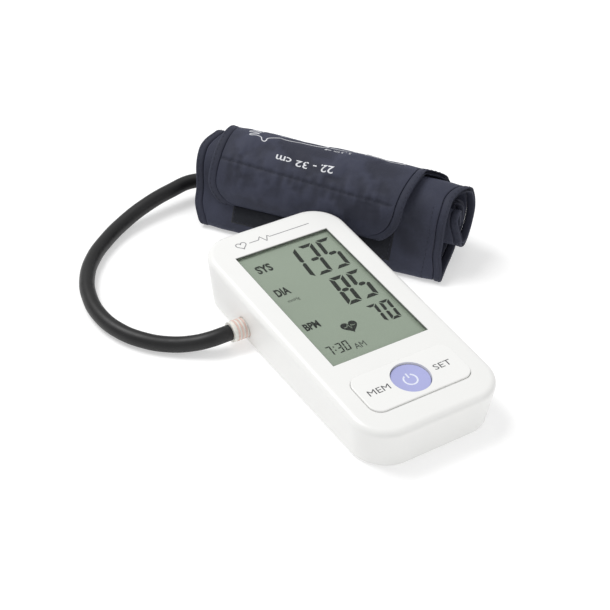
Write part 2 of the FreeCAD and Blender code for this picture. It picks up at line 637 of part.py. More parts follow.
def cuff_turns(inner, outer, inset=0.0, u0=HINGE_U + HINGE_GAP, u1=END_U):
    """Both turns of the cuff below the flap; the inner turn sits further along the axis."""
    first = ribbon(u0, TELESCOPE_U, inner, outer, OUTER_SPAN[0] + inset, OUTER_SPAN[1] - inset)
    second = ribbon(TELESCOPE_U, u1, inner, outer, INNER_SPAN[0] + inset, INNER_SPAN[1] - inset)
    return fuse(first, second)


def port_space():
    """Room in the cuff's left end for the hose and the port inside it."""
    start = roll_point(OUTER_SPAN[0] - 10, PORT_N, PORT_Z)
    return Part.makeCylinder(HOSE_R + 0.5, PORT_DEPTH + 17, start, roll_axis())


def make_cuff_layer(inner, outer):
    return cuff_turns(inner, outer, 0.4).cut(port_space())


def make_bladder():
    first = ribbon(BLADDER_U[0], TELESCOPE_U, -CORE_HALF, CORE_HALF, -98, 18)
    second = ribbon(TELESCOPE_U, BLADDER_U[1], -CORE_HALF, CORE_HALF, -96, 24)
    return fuse(first, second).cut(port_space())


def make_hose_port():
    start = roll_point(OUTER_SPAN[0] + 2.0, PORT_N, PORT_Z)
    barb = Part.makeCylinder(HOSE_BORE - BARB_SLACK, PORT_DEPTH + 2.0, start, roll_axis())
    flange = roll_point(OUTER_SPAN[0] + PORT_DEPTH + 0.3, PORT_N, PORT_Z)
    collar = Part.makeCylinder(3.6, 1.8, flange, roll_axis())
    bore = Part.makeCylinder(AIR_BORE, PORT_DEPTH + 6, start, roll_axis())
    return fuse(barb, collar).cut(bore)


def make_loop_patch():
    return ribbon(*LOOP_U, FACE_HALF + 0.05, SHEET_HALF + 0.1, -88, 1.5)


def make_edge_binding():
    strips = []
    for (lo, hi), (u0, u1) in ((OUTER_SPAN, (HINGE_U + HINGE_GAP, TELESCOPE_U)),
                               (INNER_SPAN, (TELESCOPE_U, END_U))):
        for s0, s1, c0, c1 in ((lo, lo + BINDING_W, lo + 0.35, lo + BINDING_W + 1),
                               (hi - BINDING_W, hi, hi - BINDING_W - 1, hi - 0.35)):
            skin = ribbon(u0, u1, -SHEET_HALF, SHEET_HALF, s0, s1)
            core = ribbon(u0, u1, -FACE_HALF - 0.03, FACE_HALF + 0.03, c0, c1)
            strips.append(skin.cut(core).cut(port_space()))
    return group(strips)


def flap_region(inset):
    """The space inside the flap's outline: round lower corners in front, straight sides behind."""
    lo, hi = FLAP_SPAN[0] + inset, FLAP_SPAN[1] - inset
    low = ROLL_START[1] + inset
    left_r = FLAP_LEFT_R - inset
    right_a, right_b = [r - inset for r in FLAP_RIGHT_R]
    near, above, beyond = 60.0, 60.0, 130.0

    def p(s, z):
        return roll_point(s, near, z)

    left_c = (lo + left_r, low + left_r)
    right_c = (hi - right_a, low + right_b)
    h = math.sqrt(0.5)
    right_arc = Part.Ellipse(p(hi, right_c[1]), p(right_c[0], low), p(*right_c))
    t0 = right_arc.parameter(p(right_c[0], low))
    t1 = right_arc.parameter(p(hi, right_c[1]))
    quarter = [right_arc.toShape(t0, t1), right_arc.toShape(t1, t0)]
    quarter = min(quarter, key=lambda e: e.Length)
    edges = [Part.makeLine(p(left_c[0], low), p(right_c[0], low)), quarter,
             Part.makeLine(p(hi, right_c[1]), p(hi, above)), Part.makeLine(p(hi, above), p(lo, above)),
             Part.makeLine(p(lo, above), p(lo, left_c[1])),
             Part.Arc(p(lo, left_c[1]), p(left_c[0] - left_r * h, left_c[1] - left_r * h),
                      p(left_c[0], low)).toShape()]
    face = Part.Face(Part.Wire(Part.__sortEdges__(edges)))
    front = face.extrude(roll_across() * (ROLL_CREST - near))
    corners = [(lo, ROLL_CREST), (hi, ROLL_CREST), (hi, beyond), (lo, beyond), (lo, ROLL_CREST)]
    ground = Part.Face(Part.makePolygon([roll_point(s, n, 10) for s, n in corners]))
    back = ground.extrude(Z * 50)
    return fuse(front, back)


def make_flap_layer(inner, outer, inset=0.4, u0=0.0, u1=HINGE_U - HINGE_GAP):
    return ribbon(u0, u1, inner, outer, *FLAP_STRIP).common(flap_region(inset))


def make_flap_binding():
    end = HINGE_U - HINGE_GAP
    skin = ribbon(0.0, end, -SHEET_HALF, SHEET_HALF, *FLAP_STRIP).common(flap_region(0))
    core = ribbon(0.0, end, -FACE_HALF - 0.03, FACE_HALF + 0.03, *FLAP_STRIP)
    core = core.common(flap_region(0.35))
    return skin.cut(core).cut(flap_region(BINDING_W))


def make_hook_patch():
    return make_flap_layer(-SHEET_HALF - 0.1, -FACE_HALF - 0.05, 8.0, 0.0, 32.0)


NODES = {
    "top_cover": make_top_cover,
    "bottom_cover": make_bottom_cover,
    "rubber_feet": make_feet,
    "case_screws": make_case_screws,
    "board_screws": make_board_screws,
    "display_lens": make_lens,
    "lcd_panel": make_lcd_panel,
    "lcd_frame": make_lcd_frame,
    "lcd_connector_strips": make_connector_strips,
    "main_board": make_main_board,
    "board_chips": make_board_chips,
    "key_frame": make_key_frame,
    "key_mat": make_key_mat,
    "rocker_key": make_rocker_key,
    "start_button": make_start_button,
    "battery_cells": make_cells,
    "battery_springs": make_springs,
    "battery_contacts": make_contacts,
    "battery_door": make_battery_door,
    "motor_can": make_motor_can,
    "motor_end_cap": make_motor_cap,
    "motor_magnets": make_motor_magnets,
    "motor_armature": make_armature,
    "pump_shaft": make_pump_shaft,
    "pump_eccentric": make_eccentric,
    "pump_head": make_pump_head,
    "pump_diaphragm": make_diaphragm,
    "pump_sleeve": make_pump_sleeve,
    "valve_body": make_valve_body,
    "valve_coil": make_valve_coil,
    "valve_plunger": make_valve_plunger,
    "valve_seal": make_valve_seal,
    "valve_spring": make_valve_spring,
    "air_socket": make_air_socket,
    "socket_o_ring": make_o_ring,
    "air_manifold": make_manifold,
    "air_tubes": make_air_tubes,
    "pressure_sensor": make_pressure_sensor,
    "buzzer": make_buzzer,
    "air_plug": make_air_plug,
    "plug_rings": make_plug_rings,
    "hose_front": make_hose_front,
    "hose_rear": make_hose_rear,
    "hose_port": make_hose_port,
    "cuff_outer_cover": lambda: make_cuff_layer(CORE_HALF + 0.05, FACE_HALF),
    "cuff_lining": lambda: make_cuff_layer(-FACE_HALF, -CORE_HALF - 0.05),
    "air_bladder": make_bladder,
    "loop_patch": make_loop_patch,
    "cuff_edge_binding": make_edge_binding,
    "flap_cover": lambda: make_flap_layer(0.03, FACE_HALF),
    "flap_lining": lambda: make_flap_layer(-FACE_HALF, -0.03),
    "hook_patch": make_hook_patch,
    "flap_binding": make_flap_binding,
}

os.makedirs("parts", exist_ok=True)
for name, make in NODES.items():
    solid = make()
    assert solid.isValid() and solid.Solids, name
    solid.exportStep("parts/" + name + ".step")
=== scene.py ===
import bpy
import bmesh
import json
import math
import numpy as np
from mathutils import Matrix, Vector, noise


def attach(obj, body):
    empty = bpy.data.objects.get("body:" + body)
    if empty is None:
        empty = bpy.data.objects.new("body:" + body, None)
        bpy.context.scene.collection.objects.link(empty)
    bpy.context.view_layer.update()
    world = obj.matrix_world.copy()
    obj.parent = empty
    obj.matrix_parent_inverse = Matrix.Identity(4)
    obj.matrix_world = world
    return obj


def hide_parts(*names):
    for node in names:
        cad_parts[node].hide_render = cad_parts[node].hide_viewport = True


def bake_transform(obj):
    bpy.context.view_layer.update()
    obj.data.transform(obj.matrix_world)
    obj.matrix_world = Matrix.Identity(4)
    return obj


# Upper-arm blood pressure monitor, its air hose and its rolled fabric cuff.
# Lengths are millimetres until they reach a mesh, which is in metres.

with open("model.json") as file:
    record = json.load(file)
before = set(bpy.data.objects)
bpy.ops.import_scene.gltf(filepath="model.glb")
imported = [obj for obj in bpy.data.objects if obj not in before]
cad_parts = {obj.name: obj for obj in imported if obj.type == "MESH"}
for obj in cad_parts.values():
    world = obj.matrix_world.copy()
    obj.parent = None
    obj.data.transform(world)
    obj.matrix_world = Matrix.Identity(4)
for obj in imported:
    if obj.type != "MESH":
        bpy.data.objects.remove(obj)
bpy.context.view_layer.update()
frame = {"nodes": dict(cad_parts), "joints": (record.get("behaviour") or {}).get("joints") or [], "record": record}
MM = 0.001
JOINTS = {j["name"]: j for j in frame["joints"]}

# ---- places taken from the frame ----
# The monitor's sloping top face has its own axes: x across it, v along it and w up from it.
AXIS_X = Vector((1, 0, 0))
UP = Vector((0, 0, 1))
TOP_UP = -Vector(JOINTS["start_press"]["axis"]).normalized()
TOP_ALONG = Vector(JOINTS["rocker_tilt"]["axis"]).normalized()
BUTTON_V, BUTTON_W = -52.2, -1.0      # the start button's place on that face
TOP_ORIGIN = Vector(JOINTS["start_press"]["pos_m"]) - (TOP_ALONG * BUTTON_V + TOP_UP * BUTTON_W) * MM
ROLL_A = -Vector(JOINTS["flap_peel"]["axis"]).normalized()
ROLL_N = Vector((-ROLL_A.y, ROLL_A.x, 0))


# ---- the rolled sheet ----
# A flat pattern in (u, s): u runs along the strip from the flap's free edge, s along the roll's axis.
# The flap's free edge lies at ROLL_START, across the axis and in height. From there the strip runs in
# stretches: straight ones as (length, 0), round ones as (radius, degrees), negative if they turn outwards.
ROLL_START = (74.3, 17.5)
ROLL_STRETCHES = [
    (8.85, 0), (20.85, 180), (9.35, 0), (15.35, 90), (26.05, 0),
    (2.5, 115), (12.5, 0), (-30.0, 17), (4.0, 0), (15.8, 172), (1.5, 0),
    (13.4, 180), (3.0, 0), (5.0, 155), (9.0, 0), (-3.6, 150), (-12.0, 55),
]
LINE_STEP, EDGE_STEP = 0.2, 0.8
JOIN_U = 96.0          # where the flap's panel meets the cuff's own panel
END_U = 301.8
EDGE_HALF, PAD_HALF = 1.0, 1.45
TAPE_W, TAPE_T = 3.7, 0.24
SHEET_INSET = 0.5      # from the strip's edge to the sheet inside the tape
SEAM_FROM, SEAM_TO = (24.8, -97.0), (20.6, -2.5)
SEAM_DENT, CROSS_DENT = 0.50, 0.18
PUCKER_PITCH, PUCKER_HEIGHT = 5.2, 0.50
TAPE_GAP = 0.06        # between the sheet's edge and the tape
LINING_SHARE = 0.25    # how much of the outer face's relief the lining takes up


def walk_sheet():
    """Samples the sheet's middle line: distance u, then place across the axis, height, heading."""
    n, z = ROLL_START
    heading, u, rows = math.pi / 2, 0.0, []
    for size, degrees in ROLL_STRETCHES:
        length = size if degrees == 0 else abs(size) * math.radians(degrees)
        bend = 0.0 if degrees == 0 else -math.copysign(1.0 / abs(size), size)
        steps = max(1, round(length / LINE_STEP))
        step = length / steps
        for _ in range(steps):
            rows.append((u, n, z, heading))
            middle = heading + bend * step / 2
            n += math.cos(middle) * step
            z += math.sin(middle) * step
            heading += bend * step
            u += step
    rows.append((u, n, z, heading))
    return np.array(rows)


SHEET = walk_sheet()


def roll_points(u, s, off):
    """Places of pattern points lifted off the sheet's middle by off, in metres."""
    u, s, off = np.broadcast_arrays(np.asarray(u, float), s, off)
    n, z, h = [np.interp(u, SHEET[:, 0], SHEET[:, k]) for k in (1, 2, 3)]
    n = n - off * np.sin(h)
    z = z + off * np.cos(h)
    a, across = np.array(ROLL_A), np.array(ROLL_N)
    place = s[..., None] * a + n[..., None] * across
    place[..., 2] += z
    return place * MM


def smooth(t):
    t = np.clip(t, 0, 1)
    return t * t * (3 - 2 * t)


def hump(x, middle, width):
    return np.exp(-((x - middle) / width) ** 2)


def corner(u, radius):
    """How much of a round corner is left at distance u from the strip's end, 1 at the end."""
    return 1 - np.sqrt(np.clip(1 - ((radius - np.clip(u, 0, radius)) / radius) ** 2, 0, 1))


# where the strip's two edges lie along the roll's axis, at distances along the strip
FLAP_LOW = [(0, -98.3), (46, -97.4), (JOIN_U, -104.5)]
FLAP_HIGH = [(16, 0.2), (50, 4.6), (63, 14.8), (72, 17.2), (JOIN_U, 24.4)]
CUFF_LOW = [(JOIN_U, -104.5), (130, -99.8), (150, -106.6), (176, -108.4), (190, -105.0), (216, -101.0)]
CUFF_HIGH = [(JOIN_U, 24.4), (118, 24.8), (138, 25.4), (151, 22.8), (164, 22.4), (178, 22.8), (200, 29.5),
             (216, 31.0), (250, 31.0), (263, 27.5), (END_U, 26.5)]
LEFT_R, RIGHT_R, TAIL_R = 14.0, 18.0, 8.0


def eased(u, marks):
    """Follows the marks, level at each of them and smooth between."""
    places, values = np.array(marks).T
    k = np.clip(np.searchsorted(places, u) - 1, 0, len(places) - 2)
    t = smooth((u - places[k]) / (places[k + 1] - places[k]))
    return values[k] * (1 - t) + values[k + 1] * t


def flap_limits(u):
    u = np.asarray(u, float)
    lo = eased(u, FLAP_LOW) + LEFT_R * corner(u, LEFT_R)
    hi = eased(u, FLAP_HIGH) - RIGHT_R * corner(u, RIGHT_R)
    return lo, hi


def cuff_limits(u):
    u = np.asarray(u, float)
    tail = TAIL_R * corner(END_U - u, TAIL_R)
    return eased(u, CUFF_LOW) + tail, eased(u, CUFF_HIGH) - tail


def outline(limits, u_open, u_end):
    """The strip's edge as pattern points: down one side, round the end, up the other side."""
    count = round(abs(u_end - u_open) / EDGE_STEP)
    u = u_open + (u_end - u_open) * np.linspace(0, 1, count + 1)
    fine = u_end + (u[-2] - u_end) * (1 - np.cos(np.linspace(0, math.pi / 2, 7)[::-1]))
    u = np.concatenate([u[:-2], fine])
    lo, hi = limits(u)
    across = np.linspace(lo[-1], hi[-1], round((hi[-1] - lo[-1]) / EDGE_STEP) + 1)[1:-1]
    left = np.stack([u, lo], 1)
    end = np.stack([np.full(len(across), u_end), across], 1)
    right = np.stack([u, hi], 1)[::-1]
    line = np.concatenate([left, end, right])
    return resample(line, EDGE_STEP)


def resample(line, step):
    """The same line with evenly spaced points."""
    gaps = np.linalg.norm(np.diff(line, axis=0), axis=1)
    line = line[np.concatenate([[True], gaps > 1e-6])]
    run = np.concatenate([[0], np.cumsum(np.linalg.norm(np.diff(line, axis=0), axis=1))])
    t = np.linspace(0, run[-1], max(2, round(run[-1] / step) + 1))
    return np.stack([np.interp(t, run, line[:, k]) for k in (0, 1)], 1)


FLAP_LINE = outline(flap_limits, JOIN_U, 0.0)
CUFF_LINE = outline(cuff_limits, JOIN_U, END_U)


def distance_to(line, u, s):
    """Distance in the pattern from points to a line of points."""
    u, s = np.broadcast_arrays(np.asarray(u, float), s)
    flat = np.stack([u.ravel(), s.ravel()], 1)
    found = np.empty(len(flat))
    for i in range(0, len(flat), 2000):
        block = flat[i:i + 2000, None, :] - line[None, :, :]
        found[i:i + 2000] = np.sqrt((block ** 2).sum(2).min(1))
    return found.reshape(u.shape)


def seam_distance(u, s):
    """Distance in the pattern from points to the flap's slanting seam."""
    start = SEAM_FROM
    d = np.array(SEAM_TO, float) - start
    t = np.clip(((u - start[0]) * d[0] + (s - start[1]) * d[1]) / (d @ d), 0, 1)
    return np.hypot(u - start[0] - t * d[0], s - start[1] - t * d[1])


# ---- wrinkles: a cloth simulation of the flat pattern, read as heights ----
FIELD_STEP = 3.0
FIELD_U = np.arange(0, END_U + FIELD_STEP, FIELD_STEP)
FIELD_S = np.arange(-114, 36 + FIELD_STEP, FIELD_STEP)
CLOTH_FRAMES = 20
WRINKLE_HEIGHT, WRINKLE_LIMIT = 0.55, 1.3    # usual and greatest height, before the room is applied
CROSS_SEAMS = [118.0, 214.0]
FLAP_SEAM_END = 60.0                         # no part of the flap's seam lies further along the strip


def placed(name, data):
    """A new object in the scene, holding the data."""
    obj = bpy.data.objects.new(name, data)
    bpy.context.scene.collection.objects.link(obj)
    return obj


def simulate_wrinkles():
    """The strip's cover, a little too long for its stitched edges, buckles between the seams."""
    uu, ss = np.meshgrid(FIELD_U, FIELD_S, indexing="ij")
    rough = np.array([noise.noise(Vector((u * 0.11, s * 0.11, 3.0))) for u, s in zip(uu.flat, ss.flat)])
    verts = np.stack([uu.ravel(), ss.ravel(), rough * 0.35], 1) * MM
    rows, cols = uu.shape
    faces = [(i * cols + j, (i + 1) * cols + j, (i + 1) * cols + j + 1, i * cols + j + 1)
             for i in range(rows - 1) for j in range(cols - 1)]
    mesh = bpy.data.meshes.new("pattern")
    mesh.from_pydata(verts.tolist(), [], faces)
    obj = placed("pattern", mesh)
    edge = np.minimum(distance_to(FLAP_LINE, uu, ss), distance_to(CUFF_LINE, uu, ss))
    seam = seam_distance(uu, ss)
    for across in CROSS_SEAMS:
        seam = np.minimum(seam, np.abs(uu - across))
    held = np.maximum(hump(edge, 0, 3.0), hump(seam, 0, 2.0)).ravel()
    group = obj.vertex_groups.new(name="held")
    for i, weight in enumerate(held):
        if weight > 0.02:
            group.add([i], float(weight), "REPLACE")
    cloth = obj.modifiers.new("cloth", "CLOTH")
    fabric = cloth.settings
    fabric.quality = 6
    fabric.mass = 0.15
    fabric.tension_stiffness = fabric.compression_stiffness = 12
    fabric.shear_stiffness = 4
    fabric.bending_stiffness = 0.02
    fabric.vertex_group_mass = "held"
    fabric.pin_stiffness = 1.0
    fabric.shrink_min = -0.010
    fabric.effector_weights.gravity = 0
    cloth.collision_settings.use_collision = False
    for frame_number in range(1, CLOTH_FRAMES + 1):
        bpy.context.scene.frame_set(frame_number)
    graph = bpy.context.evaluated_depsgraph_get()
    moved = obj.evaluated_get(graph).data
    height = np.array([v.co.z for v in moved.vertices]) / MM
    bpy.data.objects.remove(obj)
    bpy.context.scene.frame_set(1)
    height = height / height.std() * WRINKLE_HEIGHT
    return np.clip(height, -WRINKLE_LIMIT, WRINKLE_LIMIT).reshape(uu.shape)


FIELD = simulate_wrinkles()


def field_at(u, s):
    """Height of the simulated wrinkles at pattern points, smoothly interpolated."""
    x = np.clip((u - FIELD_U[0]) / FIELD_STEP, 0, len(FIELD_U) - 1.001)
    y = np.clip((s - FIELD_S[0]) / FIELD_STEP, 0, len(FIELD_S) - 1.001)
    i, j = x.astype(int), y.astype(int)
    fx, fy = smooth(x - i), smooth(y - j)
    low = FIELD[i, j] * (1 - fy) + FIELD[i, j + 1] * fy
    high = FIELD[i + 1, j] * (1 - fy) + FIELD[i + 1, j + 1] * fy
    return low * (1 - fx) + high * fx


def noise_at(u, s, size, seed):
    u, s = np.broadcast_arrays(np.asarray(u, float), s)
    flat = [noise.noise(Vector((a / size, b / size, seed))) for a, b in zip(u.ravel(), s.ravel())]
    return np.array(flat).reshape(u.shape)


def relief(u, s):
    """How far the outer face stands off its even padding: wrinkles and puckers."""
    u, s = np.broadcast_arrays(np.asarray(u, float), s)
    room = 1.05 * (1 - smooth((u - 56) / 20)) + 0.12      # the flap is looser than the turns under it
    room = room * (1 - 0.6 * hump(u, 54, 13))             # drawn tight over the roll's crest
    room = room + 0.5 * hump(u, 158, 16)                  # slack again at the loop patch
    below = (u < np.interp(-s, [-SEAM_TO[1], -SEAM_FROM[1]], [SEAM_TO[0], SEAM_FROM[0]]))
    reach = np.where(below, 7.5, 3.0)
    near = np.exp(-seam_distance(u, s) / reach)
    wave = np.cos(2 * math.pi * (s + 4.0 * noise_at(u * 0.3, s, 17, 5.0)) / PUCKER_PITCH)
    waver = 0.5 + noise_at(u * 0, s, 21, 8.0)
    puckers = PUCKER_HEIGHT * near * wave * waver * (u < FLAP_SEAM_END)
    return room * field_at(u, s) * 0.9 + puckers + room * 0.55 * noise_at(u, s, 22, 2.0)


def even_half(line, u, s):
    """Half of the padded strip's thickness before any seam is pulled tight."""
    return EDGE_HALF + (PAD_HALF - EDGE_HALF) * smooth(distance_to(line, u, s) / 9.0)


def half_thickness(line, u, s):
    """Half of the strip's thickness, dented along its seams."""
    dent = SEAM_DENT * hump(seam_distance(u, s), 0, 0.9) * (u < FLAP_SEAM_END)
    for across in CROSS_SEAMS:
        dent = dent + CROSS_DENT * hump(u, across, 1.2)
    return even_half(line, u, s) - dent


def outer_offset(line, u, s):
    calm = smooth(distance_to(line, u, s) / 12.0)
    return half_thickness(line, u, s) + relief(u, s) * calm


def inner_offset(line, u, s):
    return -half_thickness(line, u, s) + LINING_SHARE * relief(u, s)


# ---- mesh helpers ----
STITCH_SIDES, STITCH_LENGTH, STITCH_R = 6, 1.7, 0.17
PAD_STEP, PAD_LIFT, PAD_SINK = 0.9, 0.04, 0.25
BAND = 0.7             # height of the bands that lettering is cut into


def add_piece(name, verts, faces, slot, material=None, replaces=(), smooth_faces=True, pattern=None):
    """A visible piece, in its slot's own material unless another is given."""
    mesh = bpy.data.meshes.new(name)
    mesh.from_pydata([tuple(v) for v in verts], [], faces)
    if pattern is not None:
        attribute = mesh.attributes.new("pattern", "FLOAT_VECTOR", "POINT")
        attribute.data.foreach_set("vector", np.asarray(pattern, np.float32).ravel())
    mesh.materials.append(material or MATERIALS[slot])
    work = bmesh.new()
    work.from_mesh(mesh)
    bmesh.ops.recalc_face_normals(work, faces=work.faces)
    work.to_mesh(mesh)
    work.free()
    if smooth_faces:
        mesh.polygons.foreach_set("use_smooth", [True] * len(mesh.polygons))
    obj = placed(name, mesh)
    if replaces:
        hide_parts(*replaces)
    return obj


def grid_faces(rows, cols, start=0):
    return [(start + i * cols + j, start + i * cols + j + 1, start + (i + 1) * cols + j + 1,
             start + (i + 1) * cols + j) for i in range(rows - 1) for j in range(cols - 1)]


def closed_sheet(front, back):
    """Faces of a closed sheet whose front and back are grids of the same shape."""
    rows, cols = front.shape[:2]
    half = rows * cols
    faces = grid_faces(rows, cols) + [f[::-1] for f in grid_faces(rows, cols, half)]
    rims = [(i * cols + j, (i + 1) * cols + j) for i in range(rows - 1) for j in (0, cols - 1)]
    rims += [(i * cols + j, i * cols + j + 1) for j in range(cols - 1) for i in (0, rows - 1)]
    faces += [(a, b, b + half, a + half) for a, b in rims]
    return np.concatenate([front.reshape(-1, 3), back.reshape(-1, 3)]), faces


def sheet_piece(name, line, limits, us, cols, replaces):
    """A padded strip of the roll, closed, with thin stitched edges."""
    share = 0.5 - 0.5 * np.cos(np.linspace(0, math.pi, cols))    # closer together near both edges
    share = 0.35 * share + 0.65 * np.linspace(0, 1, cols)
    lo, hi = limits(us)
    ss = (lo + SHEET_INSET)[:, None] + share[None, :] * (hi - lo - 2 * SHEET_INSET)[:, None]
    uu = np.repeat(us[:, None], cols, 1)
    out = outer_offset(line, uu, ss)
    verts, faces = closed_sheet(roll_points(uu, ss, out), roll_points(uu, ss, inner_offset(line, uu, ss)))
    # the relief goes to the cloth material as painted shade: darker in the hollows, lighter on the ridges
    relief_for_shade = np.stack([uu, ss, out - even_half(line, uu, ss)], 2).reshape(-1, 3)
    flat = np.stack([uu, ss, uu * 0], 2).reshape(-1, 3)
    return add_piece(name, verts, faces, "cuff_nylon", replaces=replaces,
                     pattern=np.concatenate([relief_for_shade, flat]))


def unit_rows(rows):
    return rows / np.linalg.norm(rows, axis=1)[:, None]


def inner_side(line, inward):
    """Each point's direction in the pattern, across the line and towards the strip's inside."""
    along = unit_rows(np.gradient(line, axis=0))
    return np.stack([-along[:, 1], along[:, 0]], 1) * inward


def tape_section():
    """The folded tape's section: distance in from the strip's edge, then height off its middle."""
    base = EDGE_HALF + TAPE_GAP
    top = base + TAPE_T
    upper = [(TAPE_W + 0.35, base - 0.25), (TAPE_W, base + TAPE_T * 0.7), (TAPE_W - 0.6, top), (0.9, top),
             (0.1, base * 0.8 + 0.1), (-0.25, 0.45)]
    inner = [(0.9, 0.3 - base), (0.35, -base * 0.5), (0.35, base * 0.5), (0.9, base - 0.3)]
    return np.array(upper + [(d, -off) for d, off in upper[::-1]] + inner)


def tape_piece(name, line, inward, replaces):
    """Binding tape folded round the strip's edge, as one closed sweep."""
    section = tape_section()
    side = inner_side(line, inward)
    ripple = 0.10 * noise_at(np.arange(len(line)), 0.0, 7, 4.0)
    uu = line[:, 0:1] + side[:, 0:1] * section[None, :, 0]
    ss = line[:, 1:2] + side[:, 1:2] * section[None, :, 0]
    pts = roll_points(uu, ss, section[None, :, 1] * (1 + ripple[:, None] * 0.6))
    flat = np.stack([uu, ss, uu * 0], 2).reshape(-1, 3)
    return add_piece(name, pts.reshape(-1, 3), tube_faces(0, *uu.shape), "binding_tape",
                     replaces=replaces, pattern=flat)


def stitch_piece(name, lines, height, slot, pitch=2.6):
    """Short raised stitches along lines in the pattern; height gives the surface under them."""
    verts, faces = [], []
    ring = [(math.cos(a), math.sin(a)) for a in np.linspace(0, 2 * math.pi, STITCH_SIDES + 1)[:-1]]
    half = [(0.5, 0.35, -0.12), (0.3, 1.0, 0.02)]
    stations = [(-t, fat, lift) for t, fat, lift in half] + [(0.0, 1.15, 0.05)] + half[::-1]
    for line in lines:
        spots = resample(line, pitch)
        along = unit_rows(np.gradient(spots, axis=0))
        for (u, s), (du, ds) in zip(spots[1:-1], along[1:-1]):
            start = len(verts)
            for t, fat, lift in stations:
                reach, r = t * STITCH_LENGTH, STITCH_R * fat
                verts += [(u + du * reach - ds * cu * r, s + ds * reach + du * cu * r, lift + cv * r)
                          for cu, cv in ring]
            faces += tube_faces(start, len(stations), STITCH_SIDES)
    # the height in the pattern's third value also paints shade on the thread: darker low on each stitch, lighter
    # on top
    pattern = np.array(verts)
    u, s, lift = pattern.T
    pts = roll_points(u, s, height(u, s) + lift)
    return add_piece(name, pts, faces, slot, THREAD, pattern=pattern)


def tube_faces(start, rows, sides):
    """Faces of a closed tube over rings of points that follow one another."""
    faces = []
    for i in range(rows - 1):
        for j in range(sides):
            a, b = start + i * sides + j, start + i * sides + (j + 1) % sides
            faces.append((a, b, b + sides, a + sides))
    last = start + (rows - 1) * sides
    return faces + [tuple(range(start, start + sides)), tuple(last + j for j in reversed(range(sides)))]


def pad_piece(name, line, u_range, s_range, thick, slot, replaces, face, fuzz):
    """A thin patch laid on the outer (face 1) or inner (face -1) side of a strip."""
    us, ss = [np.linspace(low, high, round((high - low) / PAD_STEP) + 1) for low, high in (u_range, s_range)]
    uu, sg = np.meshgrid(us, ss, indexing="ij")
    edge = np.minimum(np.minimum(uu - us[0], us[-1] - uu), np.minimum(sg - ss[0], ss[-1] - sg))
    rise = thick * smooth(edge / 1.2)
    nap = fuzz * noise_at(uu, sg, 0.9, 11.0) + 0.5 * fuzz * noise_at(uu, sg, 0.5, 12.0)
    base = outer_offset(line, uu, sg) if face > 0 else inner_offset(line, uu, sg)
    front, back = base + face * (PAD_LIFT + rise + nap * smooth(edge)), base - face * PAD_SINK
    verts, faces = closed_sheet(roll_points(uu, sg, front), roll_points(uu, sg, back))
    flat = np.stack([uu, sg, uu * 0], 2).reshape(-1, 3)
    return add_piece(name, verts, faces, slot, replaces=replaces, pattern=np.concatenate([flat, flat]))


def prism(polygons, low, high):
    """Closed prisms over polygons in the plane."""
    verts, faces = [], []
    for poly in polygons:
        start, count = len(verts), len(poly)
        verts += [(x, y, low) for x, y in poly] + [(x, y, high) for x, y in poly]
        faces.append(tuple(range(start, start + count))[::-1])
        faces.append(tuple(range(start + count, start + 2 * count)))
        for i in range(count):
            j = (i + 1) % count
            faces.append((start + i, start + j, start + count + j, start + count + i))
    return np.array(verts), faces


def stroke(points, width, closed=False):
    """The left and right edges of a printed line of constant width."""
    p = np.array(points, float)
    if closed:
        p = np.concatenate([p, p[:1]])
    along = np.gradient(p, axis=0)
    if closed:
        along[0] = along[-1] = p[1] - p[-2]
    along = unit_rows(along)
    side = np.stack([-along[:, 1], along[:, 0]], 1) * width / 2
    return p + side, p - side


def stroke_solid(strokes, low, high):
    """Closed solids over strokes given as (left, right) lines."""
    verts, faces = [], []
    for left, right in strokes:
        start, n = len(verts), len(left)
        for line, z in ((left, low), (right, low), (right, high), (left, high)):
            verts += [(x, y, z) for x, y in line]
        for i in range(n - 1):
            for k in range(4):
                a, b = start + k * n + i, start + ((k + 1) % 4) * n + i
                faces.append((a, b, b + 1, a + 1))
        faces.append(tuple(start + k * n for k in range(4)))
        faces.append(tuple(start + k * n + n - 1 for k in reversed(range(4))))
    return np.array(verts), faces


def mesh_of(curve):
    """The mesh of a curve or of lettering."""
    holder = placed("curve", curve)
    graph = bpy.context.evaluated_depsgraph_get()
    mesh = bpy.data.meshes.new_from_object(holder.evaluated_get(graph))
    bpy.data.objects.remove(holder)
    return mesh


def text_solid(text, width, height, low, high, weight=0.0):
    """Generic lettering as a closed solid, fitted to a width and a height and centred on 0, 0.

    It is cut into bands, so that it can follow a curved face.
    """
    curve = bpy.data.curves.new("lettering", "FONT")
    curve.body = text
    curve.extrude = 0.5
    curve.offset = weight
    curve.resolution_u = 3
    work = bmesh.new()
    work.from_mesh(mesh_of(curve))
    bmesh.ops.remove_doubles(work, verts=work.verts, dist=1e-5)
    co = np.array([v.co for v in work.verts])
    lo, hi = co.min(0), co.max(0)
    scale = np.array([width, height, high - low]) / (hi - lo)
    co = (co - (lo + hi) / 2) * scale + np.array([0, 0, (low + high) / 2])
    for v, c in zip(work.verts, co):
        v.co = c
    for cut in np.arange(-height / 2, height / 2, BAND)[1:]:
        geom = work.verts[:] + work.edges[:] + work.faces[:]
        bmesh.ops.bisect_plane(work, geom=geom, plane_co=(0, cut, 0), plane_no=(0, 1, 0), dist=1e-6)
    work.verts.index_update()
    verts = np.array([v.co for v in work.verts])
    faces = [tuple(v.index for v in f.verts) for f in work.faces]
    work.free()
    return verts, faces


def top_points(verts):
    """Points given as (x, v, w) on the top face, as places in metres."""
    v = np.asarray(verts, float) * MM
    x, along, up = np.array(AXIS_X), np.array(TOP_ALONG), np.array(TOP_UP)
    return np.array(TOP_ORIGIN) + v[:, :1] * x + v[:, 1:2] * along + v[:, 2:3] * up


